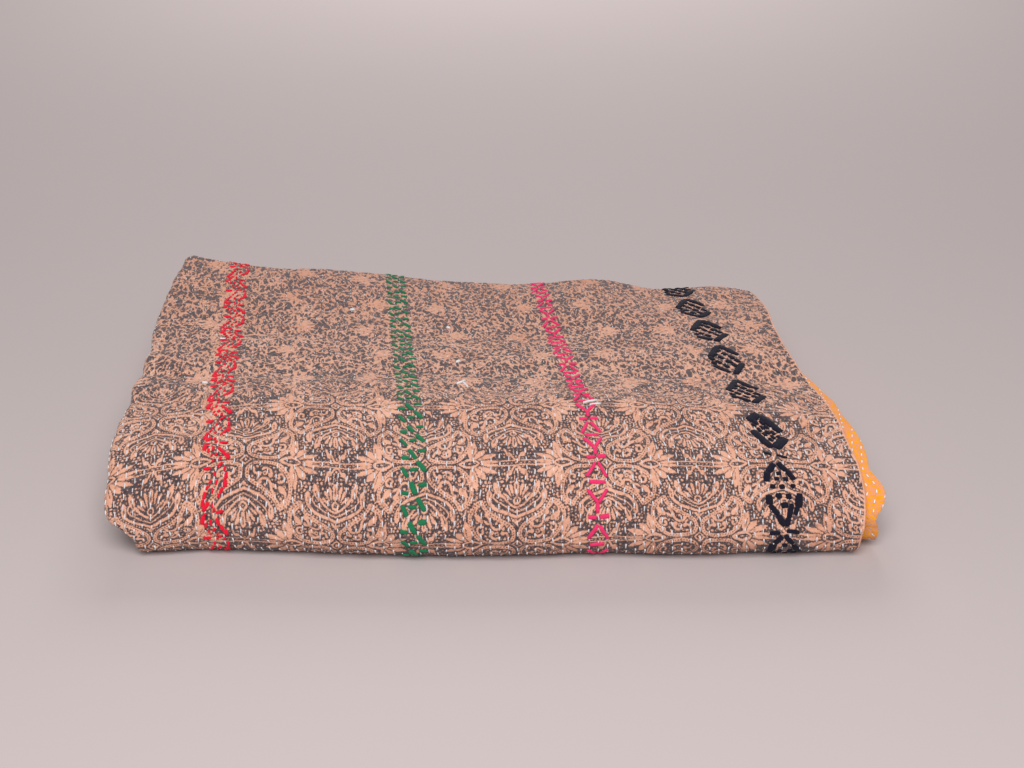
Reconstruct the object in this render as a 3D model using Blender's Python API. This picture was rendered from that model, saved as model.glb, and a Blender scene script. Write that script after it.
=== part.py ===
"""Kantha quilt folded into eight plies.

Two cloths of one size lie back to back, the printed face cloth outside and
the orange backing cloth inside.  The pair is folded once across its width,
with the fold at the left (-X), and twice along its length.  The last fold is
the rounded front (-Y).  The first lengthwise fold lies at the top of the back.
"""

import bpy
import numpy as np

# ---- sizes in metres -------------------------------------------------------
FLAT_HALF_WIDTH = 0.635
PRINTED_THICKNESS = 0.0020
BACKING_THICKNESS = 0.0018
CLOTH_GAP = 0.0005
STACK_HEIGHT = 0.088
PLIES = 8
FRONT_TO_BACK_FOLD = 0.432
BODY_CENTRE = (-0.0204, 0.2072)

PLY_THICKNESS = PRINTED_THICKNESS + CLOTH_GAP + BACKING_THICKNESS
PLY_PITCH = (STACK_HEIGHT - PLY_THICKNESS) / (PLIES - 1)
FOLD_RADIUS = PLY_PITCH / 2
LOWEST_LEVEL = PLY_THICKNESS / 2
FRONT_AXIS_HEIGHT = LOWEST_LEVEL + 3.5 * PLY_PITCH
FRONT_AXIS_DEPTH = 3.5 * PLY_PITCH
BACK_AXIS_HEIGHT = LOWEST_LEVEL + 5.5 * PLY_PITCH
BACK_AXIS_DEPTH = FRONT_TO_BACK_FOLD - 1.5 * PLY_PITCH

# how far the front face leans back for each metre of height, and how far
# back from the front the lean fades out
FRONT_LEAN = 0.36
FRONT_LEAN_REACH = 0.17
# the front bulge is square where it meets the surface and round at the top
FRONT_FOOT_SQUARENESS = 0.6

# ---- mesh counts -----------------------------------------------------------
FLAT_CELLS = 11
SIDE_FOLD_CELLS = 8
RUN_CELLS = {
    "outer_bottom": 9,
    "outer_front": 10,
    "outer_top": 11,
    "back_fold": 6,
    "inner_top": 8,
    "inner_front": 6,
    "inner_bottom": 8,
}
RUN_NAMES = list(RUN_CELLS)

# ---- height of the top over the plan ---------------------------------------
HEIGHT_X = (-0.35, -0.295, -0.19, -0.09, 0.03, 0.09, 0.15, 0.22, 0.29)
HEIGHT_ROWS = (
    # depth, then the height at each HEIGHT_X
    (0.015, 0.0800, 0.0810, 0.0840, 0.0835, 0.0820, 0.0810, 0.0800, 0.0780, 0.0740),
    (0.048, 0.0830, 0.0840, 0.0885, 0.0890, 0.0885, 0.0870, 0.0845, 0.0810, 0.0760),
    (0.082, 0.0860, 0.0890, 0.0960, 0.0965, 0.0960, 0.0945, 0.0925, 0.0870, 0.0815),
    (0.114, 0.0890, 0.0915, 0.0955, 0.0945, 0.0925, 0.0910, 0.0890, 0.0855, 0.0825),
    (0.150, 0.0895, 0.0895, 0.0905, 0.0895, 0.0865, 0.0850, 0.0835, 0.0820, 0.0800),
    (0.210, 0.0880, 0.0875, 0.0865, 0.0835, 0.0800, 0.0805, 0.0810, 0.0830, 0.0835),
    (0.280, 0.0880, 0.0855, 0.0820, 0.0755, 0.0700, 0.0730, 0.0755, 0.0800, 0.0820),
    (0.340, 0.0930, 0.0900, 0.0840, 0.0755, 0.0715, 0.0735, 0.0715, 0.0760, 0.0750),
    (0.400, 0.1020, 0.0940, 0.0860, 0.0740, 0.0700, 0.0720, 0.0640, 0.0700, 0.0580),
    (0.440, 0.1070, 0.0930, 0.0840, 0.0690, 0.0660, 0.0700, 0.0600, 0.0620, 0.0410),
)

# ---- edges in plan ---------------------------------------------------------
# place is the run number plus the share of that run; left_fold and hem are x
# positions; overhang is how far the under ply passes the hem
EDGE_TABLE = (
    # place, left_fold, hem, overhang
    (0.00, -0.3340, 0.2620, 0.0040),
    (0.35, -0.3400, 0.2700, 0.0100),
    (0.70, -0.3280, 0.2780, 0.0080),
    (0.95, -0.3055, 0.2835, 0.0130),
    (1.05, -0.3050, 0.2845, 0.0180),
    (1.14, -0.3070, 0.2855, 0.0185),
    (1.22, -0.3110, 0.2865, 0.0185),
    (1.30, -0.3110, 0.2870, 0.0165),
    (1.37, -0.3200, 0.2875, 0.0148),
    (1.44, -0.3285, 0.2882, 0.0125),
    (1.54, -0.3320, 0.2892, 0.0172),
    (1.70, -0.3308, 0.2895, 0.0185),
    (1.90, -0.3338, 0.2860, 0.0125),
    (2.06, -0.3350, 0.2820, 0.0170),
    (2.16, -0.3340, 0.2770, 0.0145),
    (2.28, -0.3363, 0.2705, 0.0155),
    (2.37, -0.3360, 0.2655, 0.0105),
    (2.46, -0.3380, 0.2605, 0.0030),
    (2.62, -0.3465, 0.2570, 0.0030),
    (2.82, -0.3470, 0.2580, 0.0020),
    (2.95, -0.3440, 0.2535, 0.0010),
    (3.08, -0.3420, 0.2480, 0.0010),
    (3.50, -0.3340, 0.2480, 0.0020),
    (4.00, -0.3380, 0.2520, 0.0030),
    (4.40, -0.3440, 0.2580, 0.0020),
    (4.80, -0.3360, 0.2720, 0.0050),
    (5.50, -0.3260, 0.2800, 0.0040),
    (6.20, -0.3300, 0.2760, 0.0030),
    (6.60, -0.3380, 0.2640, 0.0060),
    (7.00, -0.3330, 0.2580, 0.0020),
)

# depth of the rear edges over the width
REAR_TABLE = (
    # x, back_fold_shift, outer_end, inner_end
    (-0.35, 0.000, 0.436, 0.424),
    (-0.24, -0.004, 0.429, 0.418),
    (-0.12, 0.005, 0.434, 0.427),
    (0.00, 0.001, 0.441, 0.420),
    (0.11, 0.006, 0.432, 0.425),
    (0.20, -0.003, 0.437, 0.416),
    (0.30, -0.001, 0.428, 0.422),
)
UNDER_PLY_END_STEP = -0.006

# depth of the front fold over the width
FRONT_TABLE = (
    # x, front_shift
    (-0.32, -0.0125),
    (-0.24, -0.0085),
    (-0.14, -0.0160),
    (0.00, -0.0195),
    (0.07, -0.0140),
    (0.16, -0.0175),
    (0.21, -0.0125),
    (0.29, -0.0100),
)

# the under ply sags forward and down near its hem, low on the front fold
SAG_FORWARD = 0.0030
SAG_DOWN = 0.0055
SAG_PLACE = 1.08
SAG_SPREAD = 0.12
SAG_REACH = 0.20

# slow swells that keep the plies from lying evenly spaced
SWELLS = (
    # height, waves_across, waves_deep, start, ply_turn
    (0.0014, 5.2, 3.1, 0.4, 2.3),
    (0.0009, 9.1, -4.7, 1.9, 3.9),
)


def smooth_lookup(knots, values, where):
    """Cubic Hermite curve through a table; its slopes are the mean slopes."""
    knots = np.asarray(knots, float)
    values = np.asarray(values, float)
    where = np.clip(where, knots[0], knots[-1])
    slopes = np.gradient(values, knots)
    cell = np.clip(np.searchsorted(knots, where, side="right") - 1, 0, len(knots) - 2)
    step = knots[cell + 1] - knots[cell]
    share = (where - knots[cell]) / step
    rise = share * share * (3 - 2 * share)
    start_bend = share * (1 - share) ** 2 * step
    end_bend = -share * share * (1 - share) * step
    level = values[cell] * (1 - rise) + values[cell + 1] * rise
    return level + slopes[cell] * start_bend + slopes[cell + 1] * end_bend


def top_height(x, depth):
    """Height of the top of the stack, from the plan table."""
    table = np.asarray(HEIGHT_ROWS)
    depths = table[:, 0]
    profiles = np.stack([smooth_lookup(HEIGHT_X, row[1:], x) for row in table])
    slopes = np.gradient(profiles, depths, axis=0)
    depth = np.clip(depth, depths[0], depths[-1])
    cell = np.clip(np.searchsorted(depths, depth, side="right") - 1, 0, len(depths) - 2)
    step = depths[cell + 1] - depths[cell]
    share = (depth - depths[cell]) / step
    rise = share * share * (3 - 2 * share)
    spot = np.arange(x.size).reshape(x.shape)
    flat_profiles = profiles.reshape(len(depths), -1)
    flat_slopes = slopes.reshape(len(depths), -1)
    low = flat_profiles[cell, spot]
    high = flat_profiles[cell + 1, spot]
    low_slope = flat_slopes[cell, spot]
    high_slope = flat_slopes[cell + 1, spot]
    bend = low_slope * share * (1 - share) ** 2 - high_slope * share * share * (1 - share)
    return low * (1 - rise) + high * rise + bend * step


def run_centre(place, outer_end, inner_end):
    """Depth, height and outward direction of the folded pair's middle line."""
    run = np.clip(np.floor(place), 0, 6).astype(int)
    share = place - run
    angle = np.pi * share
    straight = np.zeros_like(share)
    up = np.ones_like(share)
    squareness = FRONT_FOOT_SQUARENESS + (1 - FRONT_FOOT_SQUARENESS) * share
    bulge = np.maximum(np.sin(angle), 0) ** squareness
    inner_bulge = np.maximum(np.sin(angle), 0) ** (1 + FRONT_FOOT_SQUARENESS - squareness)
    front = FRONT_AXIS_DEPTH
    back = BACK_AXIS_DEPTH
    pitch = PLY_PITCH
    low = LOWEST_LEVEL
    depth = np.choose(run, [
        outer_end + (front - outer_end) * share,
        front - 3 * pitch * bulge,
        front + (back - front) * share,
        back + pitch * np.sin(angle),
        back + (front - back) * share,
        front - pitch * inner_bulge,
        front + (inner_end - front) * share,
    ])
    height = np.choose(run, [
        straight + low + 0.5 * pitch,
        FRONT_AXIS_HEIGHT - 3 * pitch * np.cos(angle),
        straight + low + 6.5 * pitch,
        BACK_AXIS_HEIGHT + pitch * np.cos(angle),
        straight + low + 4.5 * pitch,
        FRONT_AXIS_HEIGHT + pitch * np.cos(angle),
        straight + low + 2.5 * pitch,
    ])
    facing_depth = np.choose(run, [
        straight, -bulge, straight, np.sin(angle), straight, inner_bulge, straight,
    ])
    facing_height = np.choose(run, [
        -up, -np.cos(angle), up, np.cos(angle), -up, -np.cos(angle), up,
    ])
    return depth, height, facing_depth, facing_height


def ply_middle(across, place):
    """Point of the quilt's middle surface.

    across is the flat distance from the left fold, positive on the ply whose
    print faces out of the bundle; place is the run number plus a share of it.
    """
    edges = np.asarray(EDGE_TABLE)
    left = smooth_lookup(edges[:, 0], edges[:, 1], place)
    hem = smooth_lookup(edges[:, 0], edges[:, 2], place)
    overhang = smooth_lookup(edges[:, 0], edges[:, 3], place)
    quarter_turn = FOLD_RADIUS * np.pi / 2
    reach = np.abs(across)
    turn = np.clip(across / FOLD_RADIUS, -np.pi / 2, np.pi / 2)
    inward = FOLD_RADIUS * (1 - np.cos(turn)) + np.maximum(reach - quarter_turn, 0)
    full_inward = FOLD_RADIUS + FLAT_HALF_WIDTH - quarter_turn
    side = FOLD_RADIUS * np.sin(turn)
    passing = np.where(across < 0, overhang * (inward / full_inward) ** 2, 0)
    x = left + inward * (hem - left) / full_inward + passing
    rear = np.asarray(REAR_TABLE)
    step = UNDER_PLY_END_STEP * (0.5 - 0.5 * side / FOLD_RADIUS)
    outer_end = smooth_lookup(rear[:, 0], rear[:, 2], x) + step
    inner_end = smooth_lookup(rear[:, 0], rear[:, 3], x) - step
    depth, height, facing_depth, facing_height = run_centre(place, outer_end, inner_end)
    depth = depth + side * facing_depth
    height = height + side * facing_height
    rear_pull = np.clip((depth - FRONT_AXIS_DEPTH) / (BACK_AXIS_DEPTH - FRONT_AXIS_DEPTH), 0, 1)
    upper = np.clip((height - FRONT_AXIS_HEIGHT) / (3.5 * PLY_PITCH), 0, 1)
    shift = smooth_lookup(rear[:, 0], rear[:, 1], x)
    depth = depth + shift * rear_pull ** 2 * upper
    level = (height - LOWEST_LEVEL) / (7 * PLY_PITCH)
    loose = np.sin(np.pi * np.clip(level, 0, 1)) ** 0.5 * np.clip(level * 6, 0, 1)
    for swell, waves_across, waves_deep, start, ply_turn in SWELLS:
        phase = 2 * np.pi * (waves_across * x + waves_deep * depth) + start
        height = height + swell * loose * np.sin(phase + ply_turn * level * 7)
    near_hem = np.clip((inward / full_inward - 1) / SAG_REACH + 1, 0, 1)
    sag = near_hem ** 2 * np.exp(-(((place - SAG_PLACE) / SAG_SPREAD) ** 2)) * (across < 0)
    height = height - SAG_DOWN * sag
    full_height = 7 * PLY_PITCH + PLY_THICKNESS
    stretch = (top_height(x, depth) - LOWEST_LEVEL) / (full_height - LOWEST_LEVEL)
    height = LOWEST_LEVEL + (height - LOWEST_LEVEL) * stretch
    fade = np.clip(1 - depth / FRONT_LEAN_REACH, 0, 1)
    fade = fade * fade * (3 - 2 * fade)
    front = np.asarray(FRONT_TABLE)
    forward = smooth_lookup(front[:, 0], front[:, 1], x)
    depth = depth + (FRONT_LEAN * (height - FRONT_AXIS_HEIGHT) + forward) * fade
    depth = depth - SAG_FORWARD * sag
    return np.stack([x - BODY_CENTRE[0], depth - BODY_CENTRE[1], height], axis=-1)


def middle_and_facing(across, place):
    """Middle points and unit vectors that point out on the printed side."""
    nudge = 1e-5
    points = ply_middle(across, place)
    wide = ply_middle(across + nudge, place) - ply_middle(across - nudge, place)
    inside = np.clip(place, nudge, 7 - nudge)
    long = ply_middle(across, inside + nudge) - ply_middle(across, inside - nudge)
    facing = np.cross(wide, long)
    facing /= np.linalg.norm(facing, axis=-1, keepdims=True)
    return points, facing


def across_knots():
    """Flat distances from hem to hem, closer together round the left fold."""
    quarter_turn = FOLD_RADIUS * np.pi / 2
    upper = np.linspace(quarter_turn, FLAT_HALF_WIDTH, FLAT_CELLS + 1)
    turn = np.linspace(-quarter_turn, quarter_turn, SIDE_FOLD_CELLS + 1)
    return np.concatenate([-upper[::-1], turn[1:-1], upper])


def place_knots():
    """Places along the length, one run after another."""
    parts = [
        number + np.arange(RUN_CELLS[name]) / RUN_CELLS[name]
        for number, name in enumerate(RUN_NAMES)
    ]
    return np.concatenate(parts + [np.array([float(len(RUN_NAMES))])])


def cloth_mesh(name, outer_offset, inner_offset):
    """Closed sheet between two offsets from the quilt's middle surface."""
    across, place = np.meshgrid(across_knots(), place_knots(), indexing="ij")
    middle, facing = middle_and_facing(across, place)
    outer = middle + facing * outer_offset
    inner = middle + facing * inner_offset
    wide, long = across.shape
    number = np.arange(wide * long).reshape(wide, long)
    under = number + wide * long
    faces = []
    for i in range(wide - 1):
        for j in range(long - 1):
            a, b = number[i, j], number[i + 1, j]
            c, d = number[i + 1, j + 1], number[i, j + 1]
            faces += [(a, b, c), (a, c, d)]
            a, b = under[i, j], under[i + 1, j]
            c, d = under[i + 1, j + 1], under[i, j + 1]
            faces += [(a, c, b), (a, d, c)]
    rim = (
        [number[i, 0] for i in range(wide)]
        + [number[wide - 1, j] for j in range(1, long)]
        + [number[i, long - 1] for i in range(wide - 2, -1, -1)]
        + [number[0, j] for j in range(long - 2, 0, -1)]
    )
    for here, there in zip(rim, rim[1:] + rim[:1]):
        below, beside = here + wide * long, there + wide * long
        faces += [(here, below, beside), (here, beside, there)]
    vertices = np.concatenate([outer.reshape(-1, 3), inner.reshape(-1, 3)])
    mesh = bpy.data.meshes.new(name)
    mesh.from_pydata(vertices.tolist(), [], [tuple(int(k) for k in f) for f in faces])
    mesh.update()
    return mesh


def cloth_material(name, colour, roughness):
    """Plain cloth surface."""
    material = bpy.data.materials.new(name)
    material.use_nodes = True
    shader = material.node_tree.nodes["Principled BSDF"]
    shader.inputs["Base Color"].default_value = (*colour, 1.0)
    shader.inputs["Roughness"].default_value = roughness
    shader.inputs["Metallic"].default_value = 0.0
    return material


def add_cloth(name, outer_offset, inner_offset, material):
    """One cloth as one named object."""
    mesh = cloth_mesh(name, outer_offset, inner_offset)
    mesh.materials.append(material)
    cloth = bpy.data.objects.new(name, mesh)
    bpy.context.scene.collection.objects.link(cloth)
    return cloth


for old in list(bpy.data.objects):
    bpy.data.objects.remove(old, do_unlink=True)

half_ply = PLY_THICKNESS / 2
print_material = cloth_material("printed_cotton", (0.42, 0.22, 0.15), 0.9)
backing_material = cloth_material("orange_cotton", (0.85, 0.30, 0.06), 0.9)
add_cloth("printed_cloth", half_ply, half_ply - PRINTED_THICKNESS, print_material)
add_cloth("orange_backing", -half_ply + BACKING_THICKNESS, -half_ply, backing_material)
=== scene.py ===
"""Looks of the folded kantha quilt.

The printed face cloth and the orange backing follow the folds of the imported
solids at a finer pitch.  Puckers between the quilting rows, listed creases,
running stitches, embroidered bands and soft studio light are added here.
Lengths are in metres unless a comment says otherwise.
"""

import math

import bpy
import numpy as np
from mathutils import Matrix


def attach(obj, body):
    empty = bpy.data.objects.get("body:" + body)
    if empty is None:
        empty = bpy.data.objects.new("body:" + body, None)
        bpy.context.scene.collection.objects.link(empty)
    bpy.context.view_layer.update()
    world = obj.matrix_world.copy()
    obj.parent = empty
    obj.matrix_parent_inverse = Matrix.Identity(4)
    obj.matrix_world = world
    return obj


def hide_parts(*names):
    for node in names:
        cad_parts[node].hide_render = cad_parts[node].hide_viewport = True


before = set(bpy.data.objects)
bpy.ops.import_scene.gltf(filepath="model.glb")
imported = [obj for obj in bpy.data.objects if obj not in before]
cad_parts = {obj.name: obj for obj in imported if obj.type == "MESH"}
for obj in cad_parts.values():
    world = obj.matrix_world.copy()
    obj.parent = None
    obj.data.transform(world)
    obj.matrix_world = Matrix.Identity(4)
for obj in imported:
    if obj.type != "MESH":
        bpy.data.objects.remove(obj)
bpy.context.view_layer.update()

# ---- sizes of the folded bundle --------------------------------------------
FLAT_HALF_WIDTH = 0.635
PRINTED_THICKNESS = 0.0020
BACKING_THICKNESS = 0.0018
CLOTH_GAP = 0.0005
STACK_HEIGHT = 0.088
PLIES = 8
RUNS = 7
FRONT_TO_BACK_FOLD = 0.432
# x and depth that become the origin
BODY_CENTRE = (-0.0204, 0.2072)
FLOOR_GAP = 0.0002

PLY_THICKNESS = PRINTED_THICKNESS + CLOTH_GAP + BACKING_THICKNESS
HALF_PLY = PLY_THICKNESS / 2
STACK_RISE = STACK_HEIGHT - PLY_THICKNESS
PLY_PITCH = STACK_RISE / (PLIES - 1)
FOLD_RADIUS = PLY_PITCH / 2
QUARTER_TURN = FOLD_RADIUS * math.pi / 2
TURN_SLACK = QUARTER_TURN - FOLD_RADIUS
LOWEST_LEVEL = HALF_PLY
FRONT_AXIS_DEPTH = 3.5 * PLY_PITCH
FRONT_AXIS_HEIGHT = LOWEST_LEVEL + FRONT_AXIS_DEPTH
BACK_AXIS_HEIGHT = LOWEST_LEVEL + 5.5 * PLY_PITCH
BACK_AXIS_DEPTH = FRONT_TO_BACK_FOLD - 1.5 * PLY_PITCH
FRONT_LEAN = 0.36
FRONT_LEAN_REACH = 0.17
FRONT_FOOT_SQUARENESS = 0.6

# ---- height of the top over the plan ---------------------------------------
HEIGHT_X = (-0.35, -0.295, -0.19, -0.09, 0.03, 0.09, 0.15, 0.22, 0.29)
HEIGHT_ROWS = (
    # depth, then the height at each HEIGHT_X
    (0.015, 0.0800, 0.0810, 0.0840, 0.0835, 0.0820, 0.0810, 0.0800, 0.0780, 0.0740),
    (0.048, 0.0830, 0.0840, 0.0885, 0.0890, 0.0885, 0.0870, 0.0845, 0.0810, 0.0760),
    (0.082, 0.0860, 0.0890, 0.0960, 0.0965, 0.0960, 0.0945, 0.0925, 0.0870, 0.0815),
    (0.114, 0.0890, 0.0915, 0.0955, 0.0945, 0.0925, 0.0910, 0.0890, 0.0855, 0.0825),
    (0.150, 0.0895, 0.0895, 0.0905, 0.0895, 0.0865, 0.0850, 0.0835, 0.0820, 0.0800),
    (0.210, 0.0880, 0.0875, 0.0865, 0.0835, 0.0800, 0.0805, 0.0810, 0.0830, 0.0835),
    (0.280, 0.0880, 0.0855, 0.0820, 0.0755, 0.0700, 0.0730, 0.0755, 0.0800, 0.0820),
    (0.340, 0.0930, 0.0900, 0.0840, 0.0755, 0.0715, 0.0735, 0.0715, 0.0760, 0.0750),
    (0.400, 0.1020, 0.0940, 0.0860, 0.0740, 0.0700, 0.0720, 0.0640, 0.0700, 0.0580),
    (0.440, 0.1070, 0.0930, 0.0840, 0.0690, 0.0660, 0.0700, 0.0600, 0.0620, 0.0410),
)

# ---- edges in plan ---------------------------------------------------------
# place is the run number plus the share of that run; left_fold and hem are x
# positions; overhang is how far the under ply passes the hem
EDGE_TABLE = (
    # place, left_fold, hem, overhang
    (0.00, -0.3340, 0.2620, 0.0040),
    (0.35, -0.3400, 0.2700, 0.0100),
    (0.70, -0.3280, 0.2780, 0.0080),
    (0.95, -0.3055, 0.2835, 0.0130),
    (1.05, -0.3050, 0.2845, 0.0180),
    (1.14, -0.3070, 0.2855, 0.0185),
    (1.22, -0.3110, 0.2865, 0.0185),
    (1.30, -0.3110, 0.2870, 0.0165),
    (1.37, -0.3200, 0.2875, 0.0148),
    (1.44, -0.3285, 0.2882, 0.0125),
    (1.54, -0.3320, 0.2892, 0.0172),
    (1.70, -0.3308, 0.2895, 0.0185),
    (1.90, -0.3338, 0.2860, 0.0125),
    (2.06, -0.3350, 0.2820, 0.0170),
    (2.16, -0.3340, 0.2770, 0.0145),
    (2.28, -0.3363, 0.2705, 0.0155),
    (2.37, -0.3360, 0.2655, 0.0105),
    (2.46, -0.3380, 0.2605, 0.0030),
    (2.62, -0.3465, 0.2570, 0.0030),
    (2.82, -0.3470, 0.2580, 0.0020),
    (2.95, -0.3440, 0.2535, 0.0010),
    (3.08, -0.3420, 0.2480, 0.0010),
    (3.50, -0.3340, 0.2480, 0.0020),
    (4.00, -0.3380, 0.2520, 0.0030),
    (4.40, -0.3440, 0.2580, 0.0020),
    (4.80, -0.3360, 0.2720, 0.0050),
    (5.50, -0.3260, 0.2800, 0.0040),
    (6.20, -0.3300, 0.2760, 0.0030),
    (6.60, -0.3380, 0.2640, 0.0060),
    (7.00, -0.3330, 0.2580, 0.0020),
)

# depth of the rear edges over the width
REAR_TABLE = (
    # x, back_fold_shift, outer_end, inner_end
    (-0.35, 0.000, 0.436, 0.424),
    (-0.24, -0.004, 0.429, 0.418),
    (-0.12, 0.005, 0.434, 0.427),
    (0.00, 0.001, 0.441, 0.420),
    (0.11, 0.006, 0.432, 0.425),
    (0.20, -0.003, 0.437, 0.416),
    (0.30, -0.001, 0.428, 0.422),
)
UNDER_PLY_END_STEP = -0.006

# depth of the front fold over the width
FRONT_TABLE = (
    # x, front_shift
    (-0.32, -0.0125),
    (-0.24, -0.0085),
    (-0.14, -0.0160),
    (0.00, -0.0195),
    (0.07, -0.0140),
    (0.16, -0.0175),
    (0.21, -0.0125),
    (0.29, -0.0100),
)

# the under ply sags forward and down near its hem, low on the front fold
SAG_FORWARD = 0.0030
SAG_DOWN = 0.0055
SAG_PLACE = 1.08
SAG_SPREAD = 0.12
SAG_REACH = 0.20

# slow swells that keep the plies from lying evenly spaced; they grow from the
# lowest ply upwards at this rate and fade again at the top
LOOSE_RAMP = 6
SWELLS = (
    # height, waves_across, waves_deep, start, ply_turn
    (0.0014, 5.2, 3.1, 0.4, 2.3),
    (0.0009, 9.1, -4.7, 1.9, 3.9),
)
# step in flat metres and in runs from which the facing is worked out
NUDGE = 1e-5


def eased(share):
    """Share from 0 to 1, eased at both ends: 3 share^2 - 2 share^3."""
    return share * share * (3 - 2 * share)


def between(low, high, share):
    """Straight mixture of two values: low (1 - share) + high share."""
    return low * (1 - share) + high * share


def table_cell(knots, where):
    """Cell of a list of knots, the cell's length and the share into it."""
    where = np.clip(where, knots[0], knots[-1])
    cell = np.clip(np.searchsorted(knots, where, side="right") - 1, 0, len(knots) - 2)
    step = knots[cell + 1] - knots[cell]
    return cell, step, (where - knots[cell]) / step


def hermite(low, high, low_slope, high_slope, step, share):
    """Cubic from low to high with a slope at each end.

    With s the share it is low and high mixed by the eased s, plus
    step (low_slope s (1 - s)^2 - high_slope s^2 (1 - s)).
    """
    bend = low_slope * share * (1 - share) ** 2 - high_slope * share * share * (1 - share)
    return between(low, high, eased(share)) + bend * step


def smooth_lookup(knots, values, where):
    """Cubic Hermite curve through a table; its slopes are the mean slopes."""
    knots, values = np.asarray(knots, float), np.asarray(values, float)
    slopes = np.gradient(values, knots)
    cell, step, share = table_cell(knots, where)
    return hermite(values[cell], values[cell + 1], slopes[cell], slopes[cell + 1], step, share)


def read_columns(table, where):
    """Smooth curve through each later column of a table over its first one."""
    table = np.asarray(table)
    return [smooth_lookup(table[:, 0], column, where) for column in table[:, 1:].T]


def smooth_table(columns, rows, x, y):
    """Smooth surface through a table: each row starts with its own y.

    Each row is a smooth curve over x, and a cubic over y joins the rows.
    """
    table = np.asarray(rows)
    depths = table[:, 0]
    profiles = np.stack([smooth_lookup(columns, row[1:], x) for row in table])
    slopes = np.gradient(profiles, depths, axis=0).reshape(len(depths), -1)
    profiles = profiles.reshape(len(depths), -1)
    spot = np.arange(x.size).reshape(x.shape)
    cell, step, share = table_cell(depths, y)
    return hermite(
        profiles[cell, spot], profiles[cell + 1, spot],
        slopes[cell, spot], slopes[cell + 1, spot], step, share,
    )


def run_centre(place, outer_end, inner_end):
    """Depth, height and outward direction of the folded pair's middle line.

    Even runs are straight and level, so many pitches over the lowest ply.  Odd
    ones are half turns, with depth as the sine and height as the cosine of pi
    times the share of the run, three pitches wide at the outer front fold and
    one at the two others.  At the front the sine is raised to a power, below
    one near the floor, which makes the foot squarer.
    """
    run = np.clip(np.floor(place), 0, RUNS - 1).astype(int)
    share = place - run
    none, full = np.zeros_like(share), np.ones_like(share)
    sine, cosine = np.sin(np.pi * share), np.cos(np.pi * share)
    squareness = FRONT_FOOT_SQUARENESS + (1 - FRONT_FOOT_SQUARENESS) * share
    bulge = np.maximum(sine, 0) ** squareness
    inner_bulge = np.maximum(sine, 0) ** (1 + FRONT_FOOT_SQUARENESS - squareness)
    front, back, pitch = FRONT_AXIS_DEPTH, BACK_AXIS_DEPTH, PLY_PITCH
    depth = np.choose(run, [
        outer_end + (front - outer_end) * share,
        front - 3 * pitch * bulge,
        front + (back - front) * share,
        back + pitch * sine,
        back + (front - back) * share,
        front - pitch * inner_bulge,
        front + (inner_end - front) * share,
    ])
    height = np.choose(run, [
        none + LOWEST_LEVEL + 0.5 * pitch,
        FRONT_AXIS_HEIGHT - 3 * pitch * cosine,
        none + LOWEST_LEVEL + 6.5 * pitch,
        BACK_AXIS_HEIGHT + pitch * cosine,
        none + LOWEST_LEVEL + 4.5 * pitch,
        FRONT_AXIS_HEIGHT + pitch * cosine,
        none + LOWEST_LEVEL + 2.5 * pitch,
    ])
    facing_depth = np.choose(run, [none, -bulge, none, sine, none, inner_bulge, none])
    facing_height = np.choose(run, [-full, -cosine, full, cosine, -full, -cosine, full])
    return depth, height, facing_depth, facing_height


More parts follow.
